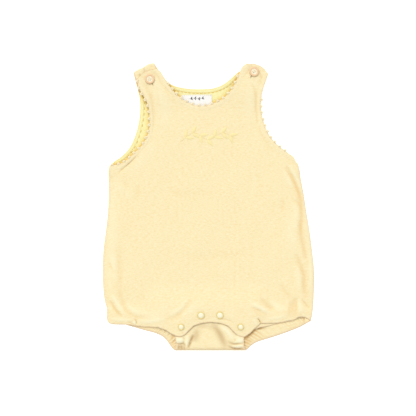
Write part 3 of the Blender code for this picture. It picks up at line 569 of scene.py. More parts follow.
@dataclass
class Shape:
    """A mesh in the making.

    Attributes:
        points: Its points in millimetres, one row each.
        faces: The points of each face.
        deep: How much painted shade each point gets, in a fold, a groove or beside an edge, from 0 to 1.
        lit: How much painted highlight each point gets on a ridge, from 0 to 1.
        rim: How much painted edge shade each point gets near an edge or where it turns side-on, from 0 to 1.
        paint: The number of each face's material.
    """

    points: Array
    faces: list[tuple[int, ...]]
    deep: Array | None = None
    lit: Array | None = None
    rim: Array | None = None
    paint: list[int] | None = None

    @staticmethod
    def joined(shapes: Sequence["Shape"]) -> "Shape":
        """Several shapes as one.

        Args:
            shapes: The shapes.

        Returns:
            One Shape with all their points and faces.
        """
        faces, paint, start = [], [], 0
        for shape in shapes:
            faces += [tuple(i + start for i in face) for face in shape.faces]
            paint += shape.paint or [0] * len(shape.faces)
            start += len(shape.points)
        return Shape(np.vstack([s.points for s in shapes]), faces, paint=paint)

    def shade(self, tone: Array) -> None:
        """Keeps how much painted shade (up to 1) or painted highlight (down to -1) each point gets."""
        self.deep, self.lit = np.clip(tone, 0, 1), np.clip(-tone, 0, 1)


def swept(rings: Array, capped: bool = True) -> Shape:
    """A solid through closed rings of points.

    Args:
        rings: The rings' points, as (ring, point, coordinate).
        capped: Whether its two ends are closed.

    Returns:
        The solid's Shape.
    """
    count, corners = rings.shape[:2]
    here = np.arange(count - 1)[:, None] * corners + np.arange(corners)
    after = np.arange(count - 1)[:, None] * corners + (np.arange(corners) + 1) % corners
    quads = np.stack([here, after, after + corners, here + corners], axis=-1).reshape(-1, 4)
    faces = [tuple(face) for face in quads.tolist()]
    if capped:
        faces.append(tuple(range(corners))[::-1])
        faces.append(tuple(range((count - 1) * corners, count * corners)))
    return Shape(rings.reshape(-1, 3), faces)


def thread(path: Array, radius: Array | float, sides: int = 6) -> Shape:
    """A round thread.

    Args:
        path: The points in space that its middle follows.
        radius: Its radius, or one radius for each point.
        sides: Number of its sides.

    Returns:
        The thread's Shape.
    """
    along = np.gradient(path, axis=0)
    along /= np.linalg.norm(along, axis=1, keepdims=True)
    side = np.cross(along, (0.0, 0.0, 1.0))
    side /= np.maximum(np.linalg.norm(side, axis=1, keepdims=True), 1e-6)
    over = np.cross(along, side)
    x, y = circle(sides).T[:, :, None]
    ring = side[:, None] * x + over[:, None] * y
    return swept(path[:, None] + ring * np.broadcast_to(radius, len(path))[:, None, None])


def turned(profile: Sequence[tuple[float, float]], segments: int) -> Array:
    """The rings of a turned piece, from (radius, height) corners."""
    ring, flat = circle(segments), np.ones(segments)
    return np.array([np.column_stack([ring * radius, flat * height]) for radius, height in profile])


def filled(outline: Array, places: Array, holes: Sequence[Array] = ()) -> Array:
    """Triangles between an outline and places inside it.

    Args:
        outline: The outline's points, which come first in the numbering.
        places: The places inside, which come next.
        holes: Closed rings that stay open, which come last.

    Returns:
        The triangles, as three numbers of points each.
    """
    flat = np.vstack([outline, places.reshape(-1, 2), *holes])
    edges, start = [], 0
    for ring, skipped in ((outline, len(places)), *((hole, 0) for hole in holes)):
        count = len(ring)
        edges += [(start + k, start + (k + 1) % count) for k in range(count)]
        start += count + skipped
    _, _, triangles, *_ = delaunay_2d_cdt([Vector(p) for p in flat], edges, [], 1, 1e-5)
    triangles = np.array([t for t in triangles if len(t) == 3])
    centres = flat[triangles].mean(axis=1)
    for hole in holes:
        triangles, centres = (a[~inside(centres, hole)] for a in (triangles, centres))
    return triangles


def placed(name: str, data: bpy.types.ID) -> bpy.types.Object:
    """A new object in the scene.

    Args:
        name: The object's name.
        data: Its mesh, light or camera.

    Returns:
        The object.
    """
    made = bpy.data.objects.new(name, data)
    bpy.context.scene.collection.objects.link(made)
    return made


def piece(name: str, shape: Shape, finishes: Sequence["Finish"]) -> bpy.types.Object:
    """A shown piece of the romper, which rides on the CAD body.

    Args:
        name: The piece's name.
        shape: Its mesh.
        finishes: The finishes that the shape's paint numbers mean.

    Returns:
        The new object.
    """
    mesh = bpy.data.meshes.new(name)
    mesh.from_pydata((shape.points * MM).tolist(), [], shape.faces)
    if shape.rim is not None:
        normals = np.empty(3 * len(mesh.vertices), np.float32)
        mesh.vertex_normals.foreach_get("vector", normals)
        # Painted edge shade also on faces that turn side-on, away from the light above.
        shape.rim = np.maximum(shape.rim, ease((0.75 - abs(normals[2::3])) / 0.55))
    for finish in finishes:
        mesh.materials.append(finish.material)
    if shape.paint is not None:
        mesh.polygons.foreach_set("material_index", shape.paint)
    for label in ("deep", "lit", "rim"):
        values = getattr(shape, label)
        if values is not None:
            mesh.attributes.new(label, "FLOAT", "POINT").data.foreach_set("value", values.astype(np.float32))
    mesh.shade_smooth()
    mesh.set_sharp_from_angle(angle=math.radians(60))
    made = placed(name, mesh)
    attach(made, "root")
    log.info("%s: %d faces", name, len(mesh.polygons))
    return made


# ---- how the cloth lies


def relief(folds: Sequence[Fold], places: Array) -> Array:
    """The height of some folds together.

    Args:
        folds: The folds.
        places: Places of the pattern, one row each.

    Returns:
        Their summed height at each place.
    """
    total = np.zeros(len(places))
    for fold in folds:
        near, distance, share = fold.beside(places, 3 * fold.width)
        fade = np.clip(np.sin(math.pi * share), 0, 1) ** 0.6
        total[near] += fold.depth * fade * bell(distance / fold.width)
    return total


class Lay:
    """How a panel lies: it takes places of the flat pattern to places on the table."""

    def middle(self, places: Array) -> Array:
        """The panel's middle surface at places of its pattern."""
        raise NotImplementedError

    def off(self, places: Array, offset: Array | float) -> Array:
        """Points off the middle surface, on the side that is up before any fold.

        Args:
            places: Places of the pattern, one row each.
            offset: Their height off the surface, below zero underneath.

        Returns:
            The points on the table, one row each.
        """
        step = 0.05
        across = self.middle(places + (step, 0)) - self.middle(places - (step, 0))
        along = self.middle(places + (0, step)) - self.middle(places - (0, step))
        normal = np.cross(across, along)
        normal /= np.linalg.norm(normal, axis=1, keepdims=True)
        return self.middle(places) + normal * np.reshape(offset, (-1, 1))


@dataclass(frozen=True)
class FrontLay(Lay):
    """The front lies on the back, and higher over the turned straps and flap.

    Attributes:
        rises: Where it is carried higher.
        folds: Its creases.
        seams: The side seams.
        swell: Height of the slow unevenness of resting cloth.
        curl: How far its side edge comes down onto the back.
        hem: Its lower edge.
        droop: How far that edge hangs down onto what it lies on.
        slope: Width over which the front comes down to a side seam.
        hem_slope: Width over which it comes down to the hem.
        narrow: Width below which a crease gets closer points.
    """

    rises: tuple[Rise, ...] = FRONT_RISES
    folds: tuple[Fold, ...] = FRONT_FOLDS
    seams: tuple[Line, ...] = (Line.through(LEFT_SIDE, 4.0), Line.through(RIGHT_SIDE, 4.0))
    swell: float = 0.16
    curl: float = 0.9
    hem: Line = Line.through(FRONT_RIGHT_LEG + FRONT_FLAP[1:] + FRONT_LEFT_LEG[1:], 3.0)
    droop: float = 0.8
    slope: float = 15.0
    hem_slope: float = 14.0
    narrow: float = 2.6

    def carried(self, places: Array) -> Array:
        """How much higher than over the body the front is carried.

        Args:
            places: Places of the pattern, one row each.

        Returns:
            The extra height at each place.
        """
        x, y = places.T
        lift = np.zeros(len(places))
        for rise in self.rises:
            out_x = np.maximum(0, abs(x - rise.x) - rise.half_x)
            out_y = np.maximum(0, abs(y - rise.y) - rise.half_y)
            lift = np.maximum(lift, rise.height * ease(1 - np.hypot(out_x, out_y) / rise.slope))
        return lift

    def creased(self, places: Array) -> Array:
        """Which places need close points.

        Args:
            places: Places of the pattern, one row each.

        Returns:
            Whether each place is on or close beside a narrow crease.
        """
        found = np.zeros(len(places), bool)
        for fold in self.folds:
            if fold.width < self.narrow:
                near, distance, _ = fold.beside(places, 2 * fold.width)
                found[near] |= distance < 2 * fold.width
        return found

    def height(self, places: Array) -> Array:
        """Height of the middle surface above the table.

        Args:
            places: Places of the pattern, one row each.

        Returns:
            The height at each place.
        """
        x, y = places.T
        seam = np.minimum(*(line.beside(places)[0] for line in self.seams))
        between = ease((y + 136) / 14) * ease((47 - y) / 12)
        drop = (BODY_HEIGHT - SEAM_HEIGHT) * (1 - ease(seam / self.slope)) * between
        drop = drop + self.droop * (1 - ease(self.hem.beside(places)[0] / self.hem_slope))
        slow = np.sin(x / 17 + 0.6 * np.sin(y / 23)) * np.sin(y / 21 + x / 60) + 0.7 * np.sin(x / 9 - y / 14)
        height = BODY_HEIGHT + self.carried(places) - drop + relief(self.folds, places) * ease(seam / 5)
        height = np.maximum(height + self.swell * slow * ease(seam / 8), SEAM_HEIGHT + 0.04)
        return height - self.curl * np.clip(1 - seam / 1.3, 0, 1) ** 2 * between

    def middle(self, places: Array) -> Array:
        """The front's middle surface at places of its pattern."""
        return np.column_stack([places, self.height(places)])


@dataclass(frozen=True)
class BackLay(Lay):
    """The back lies on the table, with its straps and its crotch flap turned over.

    Attributes:
        turned_folds: Creases of the turned flap and straps, in their places on the table.
        slump: How much lower the flap lies away from its fold.
        settle: Length over which it comes down from the fold.
    """

    turned_folds: tuple[Fold, ...] = TURNED_FOLDS
    slump: float = 1.0
    settle: float = 9.0

    @staticmethod
    def past_strap_fold(strap: Strap, places: Array) -> tuple[Array, Array]:
        """(place across the strap, distance past its fold line) of places of the pattern."""
        offset = places - (strap.x, strap.y)
        return tuple(offset @ way for way in ways(strap.lean_degrees))

    @staticmethod
    def on_strap(strap: Strap, across: Array | float, past: Array | float) -> Array:
        """The pattern's places at a place across the strap and past its fold line."""
        side, onward = ways(strap.lean_degrees)
        return np.multiply.outer(across, side) + np.multiply.outer(past, onward) + (strap.x, strap.y)

    @staticmethod
    def turned_over(past: Array, radius: float) -> tuple[Array, Array]:
        """Cloth that goes past a fold line and turns back over itself.

        Args:
            past: Distances past the fold line.
            radius: The fold's radius.

        Returns:
            How far each lies in front of the fold line, and how high.
        """
        turn = math.pi * radius
        angle = np.clip(past / radius, 0, math.pi)
        advance = np.where(past < 0, past, np.where(past < turn, radius * np.sin(angle), turn - past))
        return advance, radius * (1 - np.cos(angle))

    def middle(self, places: Array) -> Array:
        """The back's middle surface.

        Args:
            places: Places of its flat pattern, one row each.

        Returns:
            The points on the table, one row each.
        """
        x, y = places.T.copy()
        height = np.zeros(len(places))
        past = CROTCH_FOLD_Y - y
        turning = past > 0
        if turning.any():
            advance, rise = self.turned_over(past[turning], CROTCH_FOLD_RADIUS)
            y[turning] = CROTCH_FOLD_Y - advance
            laid = np.column_stack([x[turning], y[turning]])
            settled = ease((past[turning] - math.pi * CROTCH_FOLD_RADIUS) / self.settle)
            slump = -self.slump * ease((laid[:, 1] + 176) / 40)
            height[turning] = rise + settled * slump + ease(rise / 3) * relief(self.turned_folds, laid)
        for strap in (LEFT_STRAP, RIGHT_STRAP):
            across, past = self.past_strap_fold(strap, places)
            bow = np.interp(across, *crease_line(strap.bow).points.T)
            over = (past > bow) & (abs(across) < 1.5 * STRAP_HALF_WIDTH)
            if over.any():
                advance, rise = self.turned_over((past - bow)[over], STRAP_FOLD_RADIUS)
                laid = self.on_strap(strap, across[over], advance + bow[over])
                x[over], y[over] = laid.T
                height[over] = rise + ease(rise / 3) * relief(self.turned_folds, laid)
        return np.column_stack([x, y, HALF_CLOTH + height])


FRONT = FrontLay()
BACK = BackLay()


class Strip(NamedTuple):
    """A strip of cloth along an edge, as pairs of places on its two long edges."""

    outer: Array
    inner: Array

    def across(self, shares: Array) -> Array:
        """Places at shares of its width, as (cross-section, corner, coordinate)."""
        return self.outer[:, None] + (self.inner - self.outer)[:, None] * shares[:, None]

    def solid(self, lay: Lay, shares: Array, offsets: Array) -> Shape:
        """A closed solid along the strip.

        Args:
            lay: How the strip's panel lies.
            shares: The corners of a cross-section, as shares of the width.
            offsets: The height of every corner off the panel's middle surface.

        Returns:
            The solid, none of it below the table.
        """
        places = self.across(shares)
        points = lay.off(places.reshape(-1, 2), offsets.ravel())
        points[:, 2] = np.maximum(points[:, 2], 0.0)
        return swept(points.reshape(*places.shape[:2], 3))


# ---- the pattern


@dataclass(frozen=True)
class Run:
    """One edge of a panel, and the width of the binding or casing on it.

    Attributes:
        name: Its name within the panel.
        line: The finished edge, clockwise round the panel.
        start_width: The binding's or casing's width at the line's start.
        end_width: The same at its end.
    """

    name: str
    line: Line
    start_width: float = 0.0
    end_width: float = 0.0

    def width(self, share: Array) -> Array:
        """The binding's or casing's width.

        Args:
            share: Shares of the way along.

        Returns:
            The width at each.
        """
        narrow, wide = sorted((self.start_width, self.end_width))
        from_narrow_end = share if self.start_width < self.end_width else 1 - share
        return narrow + (wide - narrow) * ease(from_narrow_end / CASING_WIDENS)

    def strip(self, step: float, skews: Sequence[float] = (0, 0)) -> Strip:
        """The strip that lies along the run.

        Args:
            step: The distance between its cross-sections.
            skews: How far its inner edge runs past its two ends.

        Returns:
            The strip.
        """
        reach = 14
        last = len(self.line.points) - 1
        longer = self.line.carried_on(reach)
        share = (np.arange(len(longer.points)) - reach) / last
        shifted = longer.moved(self.width(np.clip(share, 0, 1)))
        inner = Line(shifted[reach + round(-skews[0]) : last + 1 + reach - round(-skews[1])])
        shares = np.linspace(0, 1, round(self.line.length() / step) + 1)
        return Strip(self.line.at(shares), inner.at(shares))


@dataclass(frozen=True)
class Pattern:
    """A panel's edges, clockwise.

    Attributes:
        runs: Its edges.
        lay: How the panel lies.
    """

    runs: tuple[Run, ...]
    lay: Lay

    def run(self, name: str) -> Run:
        """The run of that name."""
        return next(run for run in self.runs if run.name == name)

    def whole(self) -> Array:
        """The finished outline, bindings and casings included."""
        return np.vstack([run.line.points[:-1] for run in self.runs])

    def cloth(self) -> Array:
        """The outline of the cloth itself, tucked a little way into its bindings and casings.

        Returns:
            The outline's points, clockwise.
        """
        reach, whole, found = 12, self.whole(), []
        finished = {run.name: run.line.carried_on(reach) for run in self.runs if run.start_width}
        for run in self.runs:
            points = run.line.points
            if run.name in finished:
                line = finished[run.name]
                share = (np.arange(len(line.points)) - reach) / (len(points) - 1)
                points = line.moved(run.width(share) - TUCK)
                points = points[inside(points, whole)]
            for name, line in finished.items():
                if name != run.name and len(points):
                    gap, share = line.beside(points, square=True)
                    points = points[gap > self.run(name).width(share) - TUCK - 0.6]
            found.append(points)
        kept = []
        for point in np.vstack(found):
            if not kept or math.dist(point, kept[-1]) > 0.7:
                kept.append(point)
        while math.dist(kept[0], kept[-1]) < 0.7:
            kept.pop()
        return np.array(kept)

    def area(self) -> float:
        """The finished outline's area."""
        x, y = self.whole().T
        return abs(float(np.dot(x, np.roll(y, -1)) - np.dot(y, np.roll(x, -1)))) / 2


def front_pattern() -> Pattern:
    """The front panel's edges in its flat pattern.

    Returns:
        The front's pattern.
    """
    bound = BINDING_WIDTH
    return Pattern(
        (
            Run("left_armhole", Line.through(FRONT_LEFT_ARMHOLE), bound, bound),
            Run("left_tab_end", Line.through(FRONT_LEFT_TAB_END)),
            Run("neck", Line.through(FRONT_NECK), bound, bound),
            Run("right_tab_end", Line.through(FRONT_RIGHT_TAB_END)),
            Run("right_armhole", Line.through(FRONT_RIGHT_ARMHOLE), bound, bound),
            Run("right_side", Line.through(RIGHT_SIDE)),
            Run("right_leg", Line.through(FRONT_RIGHT_LEG)),
            Run("flap", Line.through(FRONT_FLAP)),
            Run("left_leg", Line.through(FRONT_LEFT_LEG)),
            Run("left_side", Line.through(LEFT_SIDE)),
        ),
        FRONT,
    )


def strap_edge(strap: Strap, side: int) -> tuple[Knot, ...]:
    """Knots that carry an edge over the shoulder fold to the strap's end.

    Args:
        strap: The strap.
        side: -1 for its left edge, 1 for its right one.

    Returns:
        The knots, from the fold to the end.
    """
    turn = math.pi * STRAP_FOLD_RADIUS
    places = (
        (STRAP_HALF_WIDTH + 0.6, 0.0),
        (STRAP_HALF_WIDTH, turn + 6.0),
        (STRAP_HALF_WIDTH - 0.8, turn + STRAP_LAP - STRAP_CORNER),
    )
    return tuple(Knot(*BackLay.on_strap(strap, side * across, past)) for across, past in places)


def strap_end(strap: Strap, first: Knot, last: Knot) -> Line:
    """The bowed end of a turned strap.

    Args:
        strap: The strap.
        first: The end of its left edge.
        last: The end of its right edge.

    Returns:
        The line from the one to the other.
    """
    past = math.pi * STRAP_FOLD_RADIUS + STRAP_LAP
    places = [BackLay.on_strap(strap, across, past - 0.02 * across**2) for across in (-9, 0, 9)]
    return Line.through([first, *(Knot(*place) for place in places), last])


def back_pattern() -> Pattern:
    """The back panel's edges in its flat pattern.

    Returns:
        The back's pattern.
    """
    bound = BINDING_WIDTH
    left_armhole = BACK_LEFT_ARMHOLE + strap_edge(LEFT_STRAP, -1)
    neck = strap_edge(LEFT_STRAP, 1)[::-1] + BACK_NECK + strap_edge(RIGHT_STRAP, -1)
    right_armhole = strap_edge(RIGHT_STRAP, 1)[::-1] + BACK_RIGHT_ARMHOLE
    return Pattern(
        (
            Run("left_armhole", Line.through(left_armhole), bound, bound),
            Run("left_strap_end", strap_end(LEFT_STRAP, left_armhole[-1], neck[0])),
            Run("neck", Line.through(neck), bound, bound),
            Run("right_strap_end", strap_end(RIGHT_STRAP, neck[-1], right_armhole[0])),
            Run("right_armhole", Line.through(right_armhole), bound, bound),
            Run("right_side", Line.through(RIGHT_SIDE)),
            Run("right_leg", Line.through(BACK_RIGHT_LEG), LegCasing.leg_width, LegCasing.flap_width),
            Run("flap_end", Line.through(BACK_FLAP_END)),
            Run("left_leg", Line.through(BACK_LEFT_LEG), LegCasing.flap_width, LegCasing.leg_width),
            Run("left_side", Line.through(LEFT_SIDE)),
        ),
        BACK,
    )


# ---- finishes


def seen(red: int, green: int, blue: int) -> Colour:
    """The surface colour that looks like an sRGB colour under the studio's light."""
    linear = [(v / 255 + 0.055) ** 2.4 / 1.055**2.4 for v in (red, green, blue)]
    return tuple(min(0.97, v / STUDIO_GAIN) for v in linear)


class Bench:
    """One material's nodes, joined up as they are made."""

    def __init__(self, name: str, roughness: float) -> None:
        """Starts a Principled material.

        Args:
            name: The material's name.
            roughness: Its roughness.
        """
        self.material = bpy.data.materials.new(name)
        self.material.use_nodes = True
        self.nodes = self.material.node_tree.nodes
        self.links = self.material.node_tree.links
        self.shader = self.nodes["Principled BSDF"]
        self.set("Roughness", roughness)
        self.place = self.nodes.new("ShaderNodeTexCoord").outputs["Object"]

    def set(self, socket: str, value: float | Colour) -> None:
        """Sets one of the shader's own sockets."""
        self.shader.inputs[socket].default_value = (*value, 1.0) if isinstance(value, tuple) else value

    def noise(self, size: float, detail: float = 2.0, stretch: Colour = (1.0, 1.0, 1.0)) -> Socket:
        """Noise of even grains.

        Args:
            size: About how wide a grain is, in millimetres.
            detail: How much finer grain lies within.
            stretch: How many times longer a grain is along each axis.

        Returns:
            The noise's socket.
        """
        mapping = self.nodes.new("ShaderNodeMapping")
        mapping.inputs["Scale"].default_value = [1 / (size * MM * s) for s in stretch]
        self.links.new(self.place, mapping.inputs["Vector"])
        noise = self.nodes.new("ShaderNodeTexNoise")
        noise.inputs["Scale"].default_value = 1.0
        noise.inputs["Detail"].default_value = detail
        self.links.new(mapping.outputs["Vector"], noise.inputs["Vector"])
        return noise.outputs["Fac"]

    def between(self, value: Socket, low: float, high: float) -> Socket:
        """A smooth step.

        Args:
            value: The value that it follows.
            low: The value at which it is 0.
            high: The value at which it is 1.

        Returns:
            The step's socket.
        """
        span = self.nodes.new("ShaderNodeMapRange")
        span.interpolation_type = "SMOOTHSTEP"
        span.inputs["From Min"].default_value = low
        span.inputs["From Max"].default_value = high
        self.links.new(value, span.inputs["Value"])
        return span.outputs["Result"]

    def times(self, value: Socket, factor: float) -> Socket:
        """A value times a number.

        Args:
            value: The value's socket.
            factor: The number.

        Returns:
            The product's socket.
        """
        product = self.nodes.new("ShaderNodeMath")
        product.operation = "MULTIPLY"
        product.inputs[1].default_value = factor
        self.links.new(value, product.inputs[0])
        return product.outputs["Value"]

    def measure(self, name: str) -> Socket:
        """A mesh's own measure, such as how much painted shade a point gets.

        Args:
            name: The measure's name.

        Returns:
            The measure's socket.
        """
        attribute = self.nodes.new("ShaderNodeAttribute")
        attribute.attribute_name = name
        return attribute.outputs["Fac"]

    def mix(self, share: Socket, first: Colour | Socket, second: Colour) -> Socket:
        """A mix of two colours.

        Args:
            share: How much of the second it holds, from 0 to 1.
            first: The first colour, or its socket.
            second: The second colour.

        Returns:
            The mixed colour's socket.
        """
        mix = self.nodes.new("ShaderNodeMix")
        mix.data_type = "RGBA"
        self.links.new(share, mix.inputs[0])
        if isinstance(first, tuple):
            mix.inputs[6].default_value = (*first, 1.0)
        else:
            self.links.new(first, mix.inputs[6])
        mix.inputs[7].default_value = (*second, 1.0)
        return mix.outputs[2]

    def colour(self, colour: Socket) -> None:
        """Joins a colour to the shader."""
        self.links.new(colour, self.shader.inputs["Base Color"])

    def bumps(self, *heights: tuple[Socket, float]) -> None:
        """Raises the surface.

        Args:
            heights: Noises, each with its height in millimetres.
        """
        normal = None
        for value, height in heights:
            bump = self.nodes.new("ShaderNodeBump")
            bump.inputs["Strength"].default_value = 1.0
            bump.inputs["Distance"].default_value = height * MM
            self.links.new(value, bump.inputs["Height"])
            if normal is not None:
                self.links.new(normal, bump.inputs["Normal"])
            normal = bump.outputs["Normal"]
        self.links.new(normal, self.shader.inputs["Normal"])


@dataclass(frozen=True)
class Towelling:
    """Towelling jersey: short uneven loops in courses, mottled, with painted shade in its folds, painted
    highlight on its ridges and painted shade at its edges.

    Attributes:
        name: The material's name.
        base: The cloth's colour.
        pale: Its colour where the loops catch the light.
        dark: Its colour between the loops.
        drift: The colour that it drifts to over a few centimetres.
        ridge: The painted highlight colour on a ridge.
        hollow: The painted shade colour in a fold.
        edge: The painted shade colour at an edge and on side-on faces.
        sheen: How much its nap catches the light at a glance.
        nap: Height of the loops.
    """

    name: str
    base: Colour
    pale: Colour
    dark: Colour
    drift: Colour
    ridge: Colour
    hollow: Colour
    edge: Colour
    sheen: float = 0.25
    nap: float = 0.22

    def make(self) -> bpy.types.Material:
        """The finish as a material.

        Returns:
            The new material.
        """
        bench = Bench(self.name, 0.95)
        courses = bench.noise(1.5, 2.0, (2.6, 0.8, 1.0))
        flecks = bench.noise(1.6, 2.0, (2.2, 0.85, 1.0))
        patches = bench.noise(22.0, 2.0)
        colour = bench.mix(bench.times(bench.between(patches, 0.35, 0.7), 0.4), self.base, self.drift)
        colour = bench.mix(bench.times(bench.between(courses, 0.42, 0.7), 0.7), colour, self.pale)
        colour = bench.mix(bench.times(bench.between(flecks, 0.45, 0.72), 0.65), colour, self.dark)
        # Painted highlight on ridges, then painted shade in folds, then painted shade at edges, from the
        # mesh's measures.
        colour = bench.mix(bench.times(bench.measure("lit"), 0.8), colour, self.ridge)
        colour = bench.mix(bench.measure("deep"), colour, self.hollow)
        colour = bench.mix(bench.measure("rim"), colour, self.edge)
        bench.colour(colour)
        bench.bumps((courses, 0.6 * self.nap), (bench.noise(0.7, 2.0), 0.5 * self.nap))
        bench.set("Sheen Weight", self.sheen)
        bench.set("Sheen Roughness", 0.5)
        bench.set("Specular IOR Level", 0.15)
        return bench.material


@dataclass(frozen=True)
class Yarn:
    """Spun thread with a fine twist.

    Attributes:
        name: The material's name.
        base: Its colour.
        dark: Its colour between the plies, and its painted shade where a point is marked deep.
        twist: The size of the plies.
        roughness: How matt it is.
    """

    name: str
    base: Colour
    dark: Colour
    twist: float = 0.5
    roughness: float = 0.75

    def make(self) -> bpy.types.Material:
        """The finish as a material.

        Returns:
            The new material.
        """
        bench = Bench(self.name, self.roughness)
        plies = bench.noise(self.twist, 2.0, (1.6, 0.7, 1.0))
        colour = bench.mix(bench.between(plies, 0.4, 0.75), self.base, self.dark)
        # Painted shade where a point is marked deep.
        bench.colour(bench.mix(bench.measure("deep"), colour, self.dark))
        bench.bumps((plies, 0.12))
        bench.set("Sheen Weight", 0.2)
        bench.set("Specular IOR Level", 0.25)
        return bench.material


@dataclass(frozen=True)
class Satin:
    """Woven satin ribbon with fine weft rows.

    Attributes:
        name: The material's name.
        base: Its colour.
        shade: Its colour between the rows.
    """

    name: str
    base: Colour
    shade: Colour

    def make(self) -> bpy.types.Material:
        """The finish as a material.

        Returns:
            The new material.
        """
        bench = Bench(self.name, 0.5)
        weft = bench.noise(0.5, 1.0, (6.0, 0.5, 1.0))
        cast = bench.noise(9.0, 1.0)
        colour = bench.mix(bench.times(bench.between(weft, 0.4, 0.7), 0.6), self.base, self.shade)
        bench.colour(bench.mix(bench.times(bench.between(cast, 0.4, 0.8), 0.5), colour, self.shade))
        bench.bumps((weft, 0.05))
        bench.set("Sheen Weight", 0.1)
        return bench.material


@dataclass(frozen=True)
class Polish:
    """A hard glossy finish with a faint cloudy grain, for buttons and snap caps.

    Attributes:
        name: The material's name.
        base: Its colour.
        cloud: The colour of its clouds.
        roughness: How matt it is.
        coat: Weight of the clear coat.
    """

    name: str
    base: Colour
    cloud: Colour
    roughness: float
    coat: float

    def make(self) -> bpy.types.Material:
        """The finish as a material.

        Returns:
            The new material.
        """
        bench = Bench(self.name, self.roughness)
        clouds = bench.noise(2.2, 3.0, (1.0, 2.0, 1.0))
        bench.colour(bench.mix(bench.between(clouds, 0.35, 0.75), self.base, self.cloud))
        bench.bumps((clouds, 0.03))
        bench.set("Coat Weight", self.coat)
        bench.set("Coat Roughness", 0.15)
        return bench.material


class Finish(Enum):
    """Every finish that the romper wears."""

    # In each towelling the last three colours are the painted highlight on ridges, the painted shade in
    # folds and the painted shade at edges.
    OUTSIDE = Towelling(
        "towelling outside", seen(253, 236, 188), seen(255, 246, 206), seen(248, 223, 168),
        seen(253, 232, 183), seen(255, 247, 210), seen(243, 206, 144), seen(239, 210, 172),
    )
    # The back's towelling is the same cloth with a paler painted highlight and a greyer painted fold shade.
    BACK = replace(
        OUTSIDE, name="towelling of the back with grey painted shade", ridge=seen(255, 252, 220), hollow=seen(211, 180, 132)
    )
    # The casings' towelling is the same cloth with a brighter painted highlight, which lifts the shadow
    # under the front's hem.
    CASING = replace(OUTSIDE, name="towelling of the casings with bright painted highlight", ridge=(0.97, 0.79, 0.45))
    # For the inside, GOLDEN_SHADE is the painted shade in folds.
    INSIDE = Towelling(
        "jersey inside", seen(255, 248, 184), seen(255, 252, 198), seen(253, 238, 164),
        seen(255, 244, 176), seen(255, 252, 200), GOLDEN_SHADE, seen(244, 222, 168), 0.15, 0.14,
    )
    PICOT = Yarn("picot thread", seen(255, 241, 205), seen(251, 232, 190))
    STITCH = Yarn("sewing thread", seen(254, 240, 204), seen(249, 229, 186))
    GOLD = Yarn("inner stitching", seen(249, 212, 104), seen(236, 194, 84))
    EMBROIDERY = Yarn("tone on tone thread", seen(254, 238, 176), seen(250, 230, 162), 0.6, 0.6)
    LABEL = Satin("label satin", seen(255, 253, 248), seen(248, 244, 236))
    INK = Yarn("label weft", seen(96, 92, 90), seen(60, 58, 58), 0.4)
    SHELL = Polish("button rim", seen(246, 210, 166), seen(238, 198, 152), 0.5, 0.05)
    DISH = Polish("button dish", seen(255, 250, 222), seen(252, 240, 202), 0.45, 0.05)
    # Colour of the dark strip in a buttonhole's slit: painted shade of the opening.
    SLIT = Yarn("buttonhole slit", seen(176, 138, 88), seen(150, 112, 70))
    ENAMEL = Polish("snap enamel", seen(254, 250, 222), seen(252, 246, 210), 0.35, 0.1)
    # Gold of a snap's rim: painted shade of the groove round the cap.
    RING = Polish("snap rim", seen(247, 226, 150), seen(238, 212, 130), 0.5, 0.0)

    @cached_property
    def material(self) -> bpy.types.Material:
        """The finish as a material, made when a piece first wears it."""
        return self.value.make()


# ---- cloth


